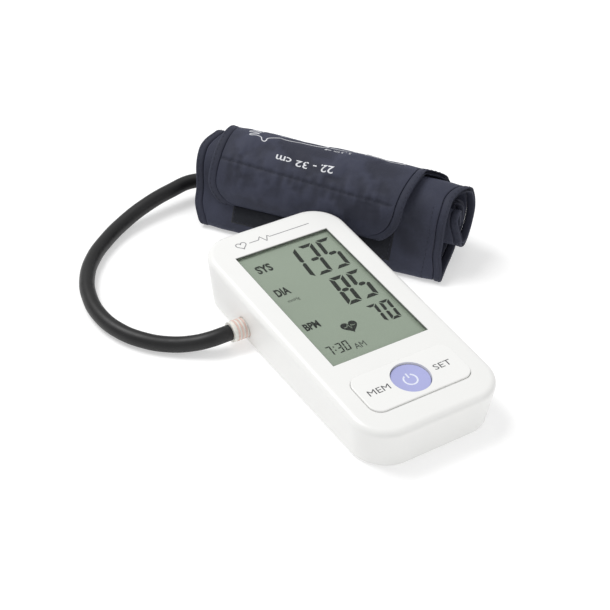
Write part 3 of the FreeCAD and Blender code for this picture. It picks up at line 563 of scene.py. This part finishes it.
def shifted(solid, x, y, turn=0.0):
    """A solid turned about 0, 0 and then moved in its plane."""
    verts, faces = solid
    c, s = math.cos(turn), math.sin(turn)
    moved = verts.copy()
    moved[:, 0] = verts[:, 0] * c - verts[:, 1] * s + x
    moved[:, 1] = verts[:, 0] * s + verts[:, 1] * c + y
    return moved, faces


def joined(solids):
    verts, faces = [], []
    for v, f in solids:
        start = sum(len(x) for x in verts)
        verts.append(v)
        faces += [tuple(i + start for i in face) for face in f]
    return np.concatenate(verts), faces


# ---- materials ----
def set_inputs(shader, values):
    for socket, value in values.items():
        shader.inputs[socket].default_value = value


def new_material(name, color, rough, coat=0.0, sheen=0.0, metallic=0.0):
    mat = bpy.data.materials.new(name)
    mat.use_nodes = True
    bsdf = mat.node_tree.nodes["Principled BSDF"]
    set_inputs(bsdf, {"Base Color": (*color, 1), "Roughness": rough, "Coat Weight": coat,
                      "Sheen Weight": sheen, "Metallic": metallic})
    return mat, mat.node_tree, bsdf


def node(tree, kind, **values):
    made = tree.nodes.new(kind)
    for key, value in values.items():
        if key in made.inputs:
            made.inputs[key].default_value = value
        else:
            setattr(made, key, value)
    return made


def math_node(tree, operation, a, b=None):
    made = node(tree, "ShaderNodeMath", operation=operation)
    for socket, value in zip(made.inputs, (a, b)):
        if isinstance(value, (int, float)):
            socket.default_value = value
        elif value:
            tree.links.new(value, socket)
    return made.outputs[0]


def place_of(tree, attribute=None):
    if attribute:
        return node(tree, "ShaderNodeAttribute", attribute_name=attribute).outputs["Vector"]
    return node(tree, "ShaderNodeTexCoord").outputs["Object"]


def noise_of(tree, place, size, detail=3.0, rough=0.5):
    made = node(tree, "ShaderNodeTexNoise", Scale=1.0 / size, Detail=detail, Roughness=rough)
    tree.links.new(place, made.inputs["Vector"])
    return made.outputs["Fac"]


def blend_color(tree, factor, low, high, shader):
    ramp = tree.nodes.new("ShaderNodeValToRGB")
    first, last = ramp.color_ramp.elements
    first.position, last.position = 0.3, 0.7
    first.color, last.color = (*low, 1), (*high, 1)
    tree.links.new(factor, ramp.inputs["Fac"])
    tree.links.new(ramp.outputs["Color"], shader.inputs["Base Color"])
    return ramp


def vary_gloss(tree, factor, low, high, shader):
    made = node(tree, "ShaderNodeMapRange")
    set_inputs(made, {"To Min": low, "To Max": high})
    tree.links.new(factor, made.inputs["Value"])
    tree.links.new(made.outputs[0], shader.inputs["Roughness"])


def bump(tree, height, distance, strength, shader, before=None):
    made = node(tree, "ShaderNodeBump", Strength=strength, Distance=distance)
    tree.links.new(height, made.inputs["Height"])
    if before:
        tree.links.new(before, made.inputs["Normal"])
    tree.links.new(made.outputs[0], shader.inputs["Normal"])
    return made.outputs[0]


def tone(color, factor):
    return tuple(min(1.0, c * factor) for c in color)


def plastic(name, color, rough, coat=0.0, vary=0.03, glow=0.0):
    """Moulded plastic with a faint grain; glow is how far light sinks into it."""
    mat, tree, bsdf = new_material(name, color, rough, coat)
    place = place_of(tree)
    cloudy = noise_of(tree, place, 0.03)
    blend_color(tree, cloudy, tone(color, 1 - vary), tone(color, 1 + vary / 2), bsdf)
    vary_gloss(tree, noise_of(tree, place, 0.006, 5.0), rough - 0.06, rough + 0.08, bsdf)
    bump(tree, noise_of(tree, place, 0.0005, 2.0), 0.00002, 0.35, bsdf)
    if glow:
        set_inputs(bsdf, {"Subsurface Weight": glow, "Subsurface Radius": (0.004, 0.003, 0.0025),
                          "Subsurface Scale": 1.0})
    return mat


def metal(name, color, rough):
    mat, tree, bsdf = new_material(name, color, rough, metallic=1.0)
    place = place_of(tree)
    blend_color(tree, noise_of(tree, place, 0.004), tone(color, 0.85), color, bsdf)
    vary_gloss(tree, noise_of(tree, place, 0.002, 5.0), rough - 0.08, rough + 0.12, bsdf)
    bump(tree, noise_of(tree, place, 0.0004, 4.0), 0.00001, 0.3, bsdf)
    return mat


def woven(name, color, thread=0.42, sheen=0.35, wrinkle=0.00022, twill=False):
    """Woven synthetic cloth: crossing threads, soft creases, a cloudy uneven tone, and painted shade that darkens
    the relief's hollows and lightens its ridges.
    """
    rough, vary = 0.72, 0.26
    mat, tree, bsdf = new_material(name, color, rough, sheen=sheen)
    set_inputs(bsdf, {"Sheen Roughness": 0.45, "Sheen Tint": (*tone(color, 5.0), 1),
                      "Specular IOR Level": 0.35})
    place = place_of(tree, "pattern")
    parts = node(tree, "ShaderNodeSeparateXYZ")
    tree.links.new(place, parts.inputs[0])
    u, s = parts.outputs["X"], parts.outputs["Y"]
    if twill:
        s = math_node(tree, "ADD", s, u)
    turns = 2 * math.pi / thread
    warp = math_node(tree, "SINE", math_node(tree, "MULTIPLY", u, turns))
    weft = math_node(tree, "SINE", math_node(tree, "MULTIPLY", s, turns))
    weave = math_node(tree, "MULTIPLY", warp, weft)
    creases = noise_of(tree, place, 6.0, 4.0, 0.55)
    fine = noise_of(tree, place, 1.6, 3.0, 0.6)
    clouds = noise_of(tree, place, 26.0, 3.0)
    wear_and_shade = math_node(tree, "ADD", math_node(tree, "MULTIPLY", clouds, 0.75),
                     math_node(tree, "MULTIPLY", fine, 0.25))
    wear_and_shade = math_node(tree, "ADD", wear_and_shade, math_node(tree, "MULTIPLY", weave, 0.05))
    # painted shade: the pattern's third value, the height of the relief, darkens the cloth in the hollows and
    # lightens it on the ridges
    raised = math_node(tree, "MULTIPLY", parts.outputs["Z"], 0.50)
    wear_and_shade = math_node(tree, "ADD", wear_and_shade, raised)
    blend_color(tree, wear_and_shade, tone(color, 1 - vary), tone(color, 1 + vary), bsdf)
    vary_gloss(tree, creases, rough - 0.1, rough + 0.1, bsdf)
    first = bump(tree, creases, wrinkle, 0.6, bsdf)
    second = bump(tree, fine, wrinkle * 0.35, 0.5, bsdf, first)
    bump(tree, weave, 0.00004, 0.55, bsdf, second)
    return mat


def pile(name, color):
    """Brushed loop pile: short tangled fibres that swallow the light."""
    mat, tree, bsdf = new_material(name, color, 0.95, sheen=0.12)
    set_inputs(bsdf, {"Specular IOR Level": 0.15, "Sheen Roughness": 0.7})
    place = place_of(tree, "pattern")
    tufts = noise_of(tree, place, 0.7, 5.0, 0.7)
    blend_color(tree, tufts, tone(color, 0.55), tone(color, 1.5), bsdf)
    bump(tree, tufts, 0.0003, 0.8, bsdf)
    return mat


def rubber(name, color, rough):
    mat, tree, bsdf = new_material(name, color, rough)
    set_inputs(bsdf, {"Specular IOR Level": 0.4})
    place = place_of(tree)
    blend_color(tree, noise_of(tree, place, 0.012, 4.0), tone(color, 0.75), tone(color, 1.35), bsdf)
    vary_gloss(tree, noise_of(tree, place, 0.004, 5.0), rough - 0.12, rough + 0.12, bsdf)
    bump(tree, noise_of(tree, place, 0.0006, 4.0), 0.00005, 0.4, bsdf)
    return mat


def clear_window(name):
    """A clear polycarbonate window: mostly see-through, with a faint gloss."""
    mat = bpy.data.materials.new(name)
    mat.use_nodes = True
    tree = mat.node_tree
    tree.nodes.clear()
    out = node(tree, "ShaderNodeOutputMaterial")
    clear = node(tree, "ShaderNodeBsdfTransparent", Color=(0.985, 0.99, 0.985, 1))
    gloss = node(tree, "ShaderNodeBsdfGlossy")
    scratch = noise_of(tree, place_of(tree), 0.004, 6.0)
    vary_gloss(tree, scratch, 0.03, 0.10, gloss)
    glance = node(tree, "ShaderNodeFresnel", IOR=1.13)
    side = node(tree, "ShaderNodeNewGeometry")
    front = math_node(tree, "SUBTRACT", 1.0, side.outputs["Backfacing"])
    mix = node(tree, "ShaderNodeMixShader")
    tree.links.new(math_node(tree, "MULTIPLY", glance.outputs[0], front), mix.inputs[0])
    tree.links.new(clear.outputs[0], mix.inputs[1])
    tree.links.new(gloss.outputs[0], mix.inputs[2])
    tree.links.new(mix.outputs[0], out.inputs["Surface"])
    return mat


def cell_material():
    """A plain dark cell jacket with a bright band near one end."""
    jacket, bright, band_start = (0.03, 0.03, 0.035), (0.55, 0.33, 0.12), -0.026
    mat, tree, bsdf = new_material("cell_jacket", jacket, 0.3, coat=0.4)
    place = place_of(tree)
    parts = node(tree, "ShaderNodeSeparateXYZ")
    tree.links.new(place, parts.inputs[0])
    band = math_node(tree, "GREATER_THAN", parts.outputs["Y"], band_start)
    ramp = blend_color(tree, band, jacket, bright, bsdf)
    ramp.color_ramp.interpolation = "CONSTANT"
    vary_gloss(tree, noise_of(tree, place, 0.004, 4.0), 0.22, 0.4, bsdf)
    bump(tree, noise_of(tree, place, 0.0008, 3.0), 0.00002, 0.3, bsdf)
    return mat


def board_material():
    mat, tree, bsdf = new_material("board", (0.02, 0.16, 0.06), 0.35, coat=0.3)
    place = place_of(tree)
    tracks = node(tree, "ShaderNodeTexBrick", Scale=300.0, Color1=(0.02, 0.17, 0.06, 1),
                  Color2=(0.015, 0.12, 0.045, 1), Mortar=(0.05, 0.26, 0.10, 1))
    tree.links.new(place, tracks.inputs["Vector"])
    tree.links.new(tracks.outputs["Color"], bsdf.inputs["Base Color"])
    vary_gloss(tree, noise_of(tree, place, 0.003, 4.0), 0.28, 0.45, bsdf)
    bump(tree, tracks.outputs["Fac"], 0.00003, 0.4, bsdf)
    return mat


def printed(name, color, rough=0.5):
    """Screen-printed ink, a little uneven."""
    mat, tree, bsdf = new_material(name, color, rough)
    place = place_of(tree)
    blend_color(tree, noise_of(tree, place, 0.0015, 4.0), tone(color, 0.85), color, bsdf)
    bump(tree, noise_of(tree, place, 0.0004, 3.0), 0.00001, 0.3, bsdf)
    return mat


WHITE = (0.84, 0.84, 0.825)
NYLON = (0.029, 0.032, 0.0525)
MATERIALS = {
    "white_case": plastic("white_case", WHITE, 0.34, coat=0.12, vary=0.012),
    "white_key": plastic("white_key", (0.86, 0.86, 0.845), 0.3, coat=0.15, vary=0.01),
    "blue_button": plastic("blue_button", (0.41, 0.43, 0.73), 0.28, coat=0.3, vary=0.06),
    "clear_lens": clear_window("clear_lens"),
    "lcd_glass": plastic("lcd_glass", (0.285, 0.335, 0.27), 0.32, coat=0.3, vary=0.03),
    "inner_plastic": plastic("inner_plastic", (0.62, 0.62, 0.58), 0.5),
    "black_plastic": plastic("black_plastic", (0.02, 0.02, 0.022), 0.45),
    "board": board_material(),
    "elastomer": rubber("elastomer", (0.45, 0.45, 0.45), 0.6),
    "black_rubber": rubber("black_rubber", (0.0085, 0.0085, 0.009), 0.46),
    "pink_rubber": rubber("pink_rubber", (0.70, 0.52, 0.46), 0.5),
    "steel": metal("steel", (0.62, 0.61, 0.60), 0.3),
    "brass_metal": metal("brass_metal", (0.78, 0.58, 0.28), 0.3),
    "cell_jacket": cell_material(),
    "magnet": rubber("magnet", (0.06, 0.06, 0.065), 0.6),
    "copper_coil": metal("copper_coil", (0.72, 0.36, 0.20), 0.35),
    "plug_plastic": plastic("plug_plastic", (0.80, 0.78, 0.72), 0.3, coat=0.2, glow=0.25),
    "cuff_nylon": woven("cuff_nylon", NYLON),
    "loop_fabric": pile("loop_fabric", (0.0065, 0.008, 0.0135)),
    "hook_fabric": pile("hook_fabric", (0.014, 0.016, 0.022)),
    "binding_tape": woven("binding_tape", tone(NYLON, 0.86), thread=0.9, sheen=0.3, wrinkle=0.0001,
                          twill=True),
    "bladder_film": rubber("bladder_film", (0.50, 0.42, 0.30), 0.4),
}
THREAD = woven("stitch_thread", tone(NYLON, 0.62), thread=0.5, wrinkle=0.00005)
INK_WHITE = printed("ink_white", (0.72, 0.73, 0.76))
INK_GREY = printed("ink_grey", (0.12, 0.12, 0.125))
INK_LIGHT = printed("ink_light", (0.80, 0.83, 0.95))
INK_MARK = printed("ink_mark", (0.30, 0.30, 0.31))
SEGMENT = printed("lcd_segment", (0.012, 0.016, 0.012), 0.3)
FAINT = printed("lcd_segment_faint", (0.05, 0.06, 0.05), 0.3)
GASKET = plastic("window_gasket", (0.10, 0.11, 0.10), 0.5)


def dress_cad_nodes():
    slots = {s["node"]: s["material_slot"] for s in frame["record"]["subparts"]}
    for name, obj in frame["nodes"].items():
        obj.data.materials.clear()
        obj.data.materials.append(MATERIALS[slots[name]])


# ---- monitor: display and printing ----
LENS_W, LCD_W = -0.5, -1.8      # the lens's and the LCD's upper faces, below the top face
WINDOW_X, WINDOW_V0, WINDOW_V1 = 27.05, -28.9, 59.6
GASKET_WIDTH = 0.4
INK_T = 0.05
SLANT = math.radians(5.0)
# a digit's width, height, bar and pitch
BIG, MIDDLE = (8.4, 24.0, 2.2, 10.6), (8.0, 21.2, 2.3, 9.9)
SMALL, CLOCK = (5.6, 14.0, 1.7, 7.5), (2.9, 6.6, 0.7, 3.8)
# digits, and their lower-left corner on the top face
READINGS = [("1", -5.9, 30.8, BIG), ("35", 4.2, 30.8, BIG), ("85", 4.8, 5.2, MIDDLE),
            ("70", 9.9, -13.5, SMALL), ("7", -23.4, -21.4, CLOCK), ("30", -18.0, -21.4, CLOCK)]
COLON, COLON_DOT = [(-19.1, -19.0), (-18.9, -16.6)], 0.7
# words, with their width, height and middle
WORDS = [("SYS", 8.6, 6.0, -17.3, 48.0), ("DIA", 7.6, 5.6, -18.6, 28.8), ("BPM", 8.2, 5.0, -19.4, 1.2)]
SMALL_WORDS = [("AM", 6.0, 3.8, -6.6, -20.8), ("mmHg", 6.4, 2.6, -16.8, 21.0)]
WORD_WEIGHT = 0.035
HEART_SIGN = (-3.5, -7.8)
KEY_INK = (0.885, 0.93)          # the keys stand proud of the top face
CASE_INK, MARK_V = (-0.02, 0.035), 67.0
DISH_R, DISH_LOW = 52.0, -0.95   # the start button's hollow face
POWER_R, POWER_W = 3.3, 0.85
SEGMENT_GAP = 0.22               # share of a bar's width left open between bars
BARS_OF = {"0": "abcdef", "1": "bc", "3": "abcdg", "5": "acdfg", "7": "abc", "8": "abcdefg"}


def segment_shapes(width, height, thick):
    """The seven bars of a digit, wide wedges with thin gaps, lower-left corner at 0, 0."""
    gap = SEGMENT_GAP * thick
    half, t = height / 2, thick
    g = gap / 2

    def mirrored(bar, flip_x, flip_y):
        return [(width - x if flip_x else x, height - y if flip_y else y) for x, y in bar]

    low = [(gap, 0), (width - gap, 0), (width - t - g, t), (t + g, t)]
    side = [(0, gap), (t, t + gap), (t, half - t / 2 - g), (t / 2, half - g), (0, half - t * 0.35)]
    middle = [(t * 0.75 + g, half), (t + gap, half - t / 2), (width - t - gap, half - t / 2),
              (width - t * 0.75 - g, half), (width - t - gap, half + t / 2), (t + gap, half + t / 2)]
    return {"a": mirrored(low, False, True), "b": mirrored(side, True, True),
            "c": mirrored(side, True, False), "d": low, "e": side, "f": mirrored(side, False, True),
            "g": middle}


def digits(text, x, v, width, height, thick, pitch):
    polygons = []
    for i, char in enumerate(text):
        shapes = segment_shapes(width, height, thick)
        for bar in BARS_OF[char]:
            polygons.append([(x + i * pitch + px + math.tan(SLANT) * py, v + py) for px, py in shapes[bar]])
    return polygons


def square(x, y, side):
    return [(x, y), (x + side, y), (x + side, y + side), (x, y + side)]


def heart_outline(size):
    points = []
    for t in np.linspace(0, 2 * math.pi, 41)[:-1]:
        x = 16 * math.sin(t) ** 3
        y = 13 * math.cos(t) - 5 * math.cos(2 * t) - 2 * math.cos(3 * t) - math.cos(4 * t)
        points.append((x * size / 32, y * size / 32))
    return points


def add_top_print(name, solid, body, slot, material=None):
    verts, faces = solid
    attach(add_piece(name, top_points(verts), faces, slot, material, smooth_faces=False), body)


def build_display():
    """The readings, their words and a beating-heart sign, on the LCD's upper face."""
    low, high = LCD_W + 0.005, LCD_W + INK_T
    bars = []
    for text, x, v, style in READINGS:
        bars += digits(text, x, v, *style)
    bars += [square(x, v, COLON_DOT) for x, v in COLON]
    solids = [prism(bars, low, high)]
    solids += [shifted(text_solid(text, width, height, low, high, WORD_WEIGHT), x, v)
               for text, width, height, x, v in WORDS]
    add_top_print("lcd_segments", joined(solids), "monitor", "lcd_glass", SEGMENT)
    faint = [shifted(text_solid(text, width, height, low, high), x, v)
             for text, width, height, x, v in SMALL_WORDS]
    add_top_print("lcd_small_marks", joined(faint), "monitor", "lcd_glass", FAINT)
    heart = [tuple(p) for p in np.array(heart_outline(8.8)) + HEART_SIGN]
    add_top_print("lcd_heart", prism([heart], low, high), "monitor", "lcd_glass", SEGMENT)
    pulse = [(-3.0, 0.2), (-1.4, 0.2), (-0.7, 1.8), (0.2, -1.6), (1.0, 1.0), (1.6, 0.2), (3.0, 0.2)]
    wave = stroke_solid([stroke(np.array(pulse) + HEART_SIGN, 0.35)], high - 0.01, high + 0.01)
    add_top_print("lcd_pulse", wave, "monitor", "lcd_glass")


def window_corners(inset):
    x, low, high = WINDOW_X - inset, WINDOW_V0 + inset, WINDOW_V1 - inset
    return [(-x, low), (x, low), (x, high), (-x, high)]


def build_gasket():
    """A thin dark rim where the lens meets the window's edge."""
    corners = window_corners(0) + window_corners(GASKET_WIDTH)
    verts = [(x, y, w) for w in (LENS_W + 0.01, LENS_W + 0.07) for x, y in corners]
    faces = []
    for i in range(4):
        j = (i + 1) % 4
        faces += [(i, j, j + 4, i + 4), (i + 8, i + 12, j + 12, j + 8), (i, i + 8, j + 8, j),
                  (i + 4, j + 4, j + 12, i + 12)]
    add_top_print("window_gasket", (np.array(verts), faces), "monitor", "black_plastic", GASKET)


def build_key_lettering():
    words = [shifted(text_solid("MEM", 11.6, 3.5, *KEY_INK), -18.0, -52.4),
             shifted(text_solid("SET", 9.6, 3.5, *KEY_INK), 17.6, -52.4)]
    add_top_print("key_lettering", joined(words), "rocker_key", "white_key", INK_GREY)


def build_power_symbol():
    """An open ring with an upright bar, on the start button's hollow face."""
    turn = np.linspace(math.radians(118), math.radians(422), 40)
    arc = [(POWER_R * math.cos(t), POWER_R * math.sin(t)) for t in turn]
    bar = [(0, 1.2), (0, 2.6), (0, 4.2)]
    verts, faces = stroke_solid([stroke(arc, POWER_W), stroke(bar, POWER_W)], 0.0, 1.0)
    x, y, raised = verts.T
    face = DISH_LOW + DISH_R - np.sqrt(DISH_R ** 2 - x ** 2 - y ** 2)
    verts = np.stack([x, y + BUTTON_V, face + np.where(raised > 0.5, 0.05, -0.1)], 1)
    add_top_print("power_symbol", (verts, faces), "start_button", "blue_button", INK_LIGHT)


def build_case_mark():
    """A plain heart, and a pulse line that runs out into a rule, above the display."""
    heart = [(x - 19.0, y + MARK_V) for x, y in heart_outline(5.6)]
    beat = [(-14.5, 0), (-9.0, 0), (-7.4, 2.2), (-5.4, -2.4), (-3.4, 1.4), (-2.4, 0), (21.0, 0)]
    pulse = [(x, y + MARK_V) for x, y in beat]
    fine = [p for a, b in zip(pulse, pulse[1:]) for p in np.linspace(a, b, 9)[:-1]] + [pulse[-1]]
    solid = stroke_solid([stroke(heart, 0.55, True), stroke(fine, 0.5)], *CASE_INK)
    add_top_print("case_mark", solid, "monitor", "white_case", INK_MARK)


# ---- hose ----
HOSE_R = 4.0
# from the plug down to the table, round the free bend, and up to the cuff's left end
HOSE_PATH = [(-45.8, 32.5, 8.5), (-50.5, 32.5, 8.5), (-55.5, 33.4, 7.7), (-63.4, 37.2, 5.6),
             (-73.0, 43.6, 4.2), (-82.3, 52.6, 4.1), (-89.4, 65.5, 4.1), (-92.0, 80.0, 4.1),
             (-90.0, 96.0, 4.1), (-84.2, 110.5, 4.1), (-74.2, 124.0, 4.1), (-60.8, 135.2, 4.3),
             (-46.5, 143.2, 5.6), (-31.2, 148.4, 8.0), (-13.5, 152.0, 10.0), (2.0, 153.0, 11.0)]
PORT_N, PORT_Z, PORT_S = 101.0, 11.0, (-106.0, -91.0)


def build_hose():
    """One hose from the plug to the cuff, in one piece across the free bend."""
    places = [Vector(place) for place in HOSE_PATH]
    places += [ROLL_A * s + ROLL_N * PORT_N + UP * PORT_Z for s in PORT_S]
    curve = bpy.data.curves.new("hose_line", "CURVE")
    curve.dimensions = "3D"
    curve.resolution_u = 10
    curve.bevel_depth = HOSE_R * MM
    curve.bevel_resolution = 10
    curve.use_fill_caps = True
    spline = curve.splines.new("BEZIER")
    spline.bezier_points.add(len(places) - 1)
    for point, place in zip(spline.bezier_points, places):
        point.co = place * MM
        point.handle_left_type = point.handle_right_type = "AUTO"
    mesh = mesh_of(curve)
    faces = [tuple(p.vertices) for p in mesh.polygons]
    hose = add_piece("hose", [v.co for v in mesh.vertices], faces, "black_rubber",
                     replaces=("hose_front", "hose_rear"))
    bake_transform(hose)


# ---- cuff ----
PATCH_U, PATCH_S = (140.5, 175.5), (-88.0, 0.8)
PATCH_T, PATCH_INSET = 0.35, 1.2
HOOKS_U, HOOKS_S, HOOKS_T = (7.0, 34.0), (-82.0, -12.0), 0.25


def flap_height(u, s):
    return outer_offset(FLAP_LINE, u, s)


def cuff_height(u, s):
    return outer_offset(CUFF_LINE, u, s)


def patch_height(u, s):
    return cuff_height(u, s) + PATCH_T + 0.01


def tape_height(u, s):
    return np.full(np.shape(u), EDGE_HALF + TAPE_GAP + TAPE_T)


def bend_flap(obj):
    """Bakes a flap piece's placement into its mesh; nothing is bent here."""
    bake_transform(obj)


def build_cuff():
    front = np.linspace(0, 1, 14) ** 2 * 14
    us = np.concatenate([front, np.linspace(14.6, 30, 30), np.linspace(31, JOIN_U, 55)])
    bend_flap(sheet_piece("flap_panel", FLAP_LINE, flap_limits, us, 130, ("flap_cover", "flap_lining")))
    tail = END_U - np.linspace(1, 0, 10) ** 2 * 8
    us = np.concatenate([np.linspace(JOIN_U, END_U - 9, 150), tail])
    replaced = ("cuff_outer_cover", "cuff_lining")
    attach(sheet_piece("cuff_panel", CUFF_LINE, cuff_limits, us, 110, replaced), "cuff")
    bend_flap(tape_piece("flap_binding_tape", FLAP_LINE, 1, ("flap_binding",)))
    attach(tape_piece("cuff_binding_tape", CUFF_LINE, -1, ("cuff_edge_binding",)), "cuff")
    patch = pad_piece("loop_pad", CUFF_LINE, PATCH_U, PATCH_S, PATCH_T, "loop_fabric", ("loop_patch",),
                      face=1, fuzz=0.22)
    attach(patch, "cuff")
    hooks = pad_piece("hook_pad", FLAP_LINE, HOOKS_U, HOOKS_S, HOOKS_T, "hook_fabric", ("hook_patch",),
                      face=-1, fuzz=0.3)
    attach(hooks, "cuff_flap")


def patch_lines():
    """The loop patch is sewn down along four lines just inside its sides."""
    u0, u1 = PATCH_U[0] + PATCH_INSET, PATCH_U[1] - PATCH_INSET
    s0, s1 = PATCH_S[0] + PATCH_INSET, PATCH_S[1] - PATCH_INSET
    return [np.array(ends) for ends in (((u0, s0), (u1, s0)), ((u0, s1), (u1, s1)),
                                        ((u0, s0), (u0, s1)), ((u1, s0), (u1, s1)))]


def seam_lines():
    """Seams across the cuff, and one along it near its right edge."""
    lines = [np.array([(JOIN_U + 4, 19.5), (176.0, 18.5)])]
    for across in CROSS_SEAMS:
        lo, hi = cuff_limits(np.array([across]))
        lines.append(np.array([(across, lo[0] + 6), (across, hi[0] - 6)]))
    return lines


def build_stitches():
    inset = TAPE_W - 0.9
    line = FLAP_LINE + inner_side(FLAP_LINE, 1) * inset
    bend_flap(stitch_piece("flap_edge_stitches", [line], tape_height, "binding_tape"))
    line = np.linspace(SEAM_FROM, SEAM_TO, 60)
    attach(stitch_piece("flap_seam_stitches", [line], flap_height, "cuff_nylon", 2.3), "cuff_flap")
    line = CUFF_LINE + inner_side(CUFF_LINE, -1) * inset
    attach(stitch_piece("cuff_edge_stitches", [line], tape_height, "binding_tape"), "cuff")
    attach(stitch_piece("cuff_seam_stitches", seam_lines(), cuff_height, "cuff_nylon", 2.3), "cuff")
    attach(stitch_piece("loop_pad_stitches", patch_lines(), patch_height, "loop_fabric"), "cuff")


def print_on_flap(name, solid):
    """Maps flat print, with x along the axis and y up the flap, onto the flap's outer face."""
    verts, faces = solid
    u, s = verts[:, 1], verts[:, 0]
    pts = roll_points(u, s, flap_height(u, s) + verts[:, 2])
    obj = add_piece(name, pts, faces, "cuff_nylon", INK_WHITE, smooth_faces=False,
                    pattern=np.stack([u, s, verts[:, 2]], 1))
    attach(obj, "cuff_flap")


def rounded_line(points, rounds=2):
    """Cuts the corners of a line so that it runs smoothly."""
    line = np.array(points, float)
    for _ in range(rounds):
        a = 0.75 * line[:-1] + 0.25 * line[1:]
        b = 0.25 * line[:-1] + 0.75 * line[1:]
        line = np.concatenate([line[:1], np.stack([a, b], 1).reshape(-1, 2), line[-1:]])
    return line


# an open hand at the left end of the drawn arm: the roots and tips of its fingers, its thumb, its wrist
FINGERS = [((-82.6, 43.2), (-87.6, 42.0)), ((-83.0, 45.7), (-89.0, 45.6)), ((-82.6, 48.2), (-88.4, 49.4)),
           ((-81.6, 50.6), (-86.2, 53.0))]
FINGER_HALF = 0.85
THUMB = [(-80.6, 42.0), (-79.6, 39.4), (-78.0, 38.9), (-77.2, 39.8), (-77.4, 42.2), (-74.6, 44.4)]
WRIST = [(-71.5, 46.6), (-71.5, 52.0)]
ARROW_U = 45.6


def finger(root, tip):
    """Points round a finger, from its lower side to its upper side."""
    root, tip = np.array(root), np.array(tip)
    along = (tip - root) / np.linalg.norm(tip - root)
    side = np.array([along[1], -along[0]]) * FINGER_HALF
    side = side if side[1] < 0 else -side
    near = tip - along * FINGER_HALF
    return [root + side, near + side, tip, near - side, root - side]


def arm_lines():
    """A plain outline of an open hand and a forearm lying along the roll, with two marks across it."""
    hand = [WRIST[0]] + THUMB[::-1]
    for root, tip in FINGERS:
        hand += finger(root, tip)
    hand += [(-77.4, 52.6), WRIST[1]]
    lines = [rounded_line(hand, 1)]
    lower = [WRIST[0], (-60.0, 47.6), (-48.0, 48.6), (-30.0, 49.6), (-14.0, 50.2), (-3.0, 49.8)]
    upper = [WRIST[1], (-60.0, 53.4), (-44.0, 54.8), (-26.0, 56.0), (-8.0, 56.4)]
    marks = [np.linspace((s, 48.8), (s + 0.6, 55.2), 12) for s in (-46.0, -25.0)]
    return lines + [rounded_line(lower), rounded_line(upper)] + marks


def build_cuff_print():
    """The arm, the arm size that the cuff fits, and the gap to leave above the elbow."""
    low, high = -0.15, 0.06
    strokes = [stroke(resample(line, 0.6), 0.55) for line in arm_lines()]
    print_on_flap("print_arm", stroke_solid(strokes, low, high))
    size = text_solid("22 - 32 cm", 32.0, 3.9, low, high, 0.01)
    print_on_flap("print_size", shifted(size, -52.4, 31.2, math.pi))
    gap = text_solid("2 - 3 cm", 9.5, 2.0, low, high)
    head = [(-46.6, ARROW_U), (-45.2, ARROW_U - 0.9), (-45.2, ARROW_U + 0.9)]
    shaft = stroke(np.linspace((-45.6, ARROW_U), (-42.8, ARROW_U), 5), 0.5)
    solids = [shifted(gap, -36.5, 45.2, math.pi), prism([head], low, high), stroke_solid([shaft], low, high)]
    print_on_flap("print_gap", joined(solids))


# ---- stage ----
def build_stage():
    """A white table top, just under the object."""
    half, z = 1.6, -0.0002
    mesh = bpy.data.meshes.new("floor")
    corners = [(-half, -half, z), (half, -half, z), (half, half, z), (-half, half, z)]
    mesh.from_pydata(corners, [], [(0, 1, 2, 3)])
    mat, tree, bsdf = new_material("floor_paper", (0.66, 0.66, 0.66), 0.9)
    set_inputs(bsdf, {"Emission Color": (1, 1, 1, 1), "Emission Strength": 0.42})
    vary_gloss(tree, noise_of(tree, place_of(tree), 0.05), 0.85, 0.95, bsdf)
    mesh.materials.append(mat)
    placed("floor", mesh)


def add_area(name, place, size, power):
    """A square light that faces the origin."""
    data = bpy.data.lights.new(name, "AREA")
    data.energy = power
    data.size = size
    light = placed(name, data)
    light.location = place
    light.rotation_euler = (-Vector(place)).to_track_quat("-Z", "Y").to_euler()


def build_lights():
    world = bpy.data.worlds.new("studio")
    world.use_nodes = True
    set_inputs(world.node_tree.nodes["Background"], {"Color": (1, 1, 1, 1), "Strength": 0.60})
    bpy.context.scene.world = world
    add_area("key", (-0.35, 0.55, 1.1), 0.6, 9.6)
    add_area("fill", (0.5, -1.2, 0.6), 0.8, 2.4)
    bpy.context.scene.view_settings.view_transform = "Standard"


def build_camera():
    data = bpy.data.cameras.new("camera")
    data.sensor_width = 36.0
    data.lens = 85.3
    data.clip_start, data.clip_end = 0.05, 10.0
    camera = placed("camera", data)
    place = Vector((-324.8, -431.8, 457.5)) * MM
    up = Vector((0.3062, 0.5432, 0.7818))
    back = Vector((0.8406, -0.5398, 0.0458)).cross(up).normalized()
    right = up.cross(back).normalized()
    turn = Matrix((right, up, back)).transposed()
    camera.matrix_world = Matrix.Translation(place) @ turn.to_4x4()
    bpy.context.scene.camera = camera


dress_cad_nodes()
build_display()
build_gasket()
build_key_lettering()
build_power_symbol()
build_case_mark()
build_hose()
build_cuff()
build_stitches()
build_cuff_print()
build_stage()
build_lights()
build_camera()
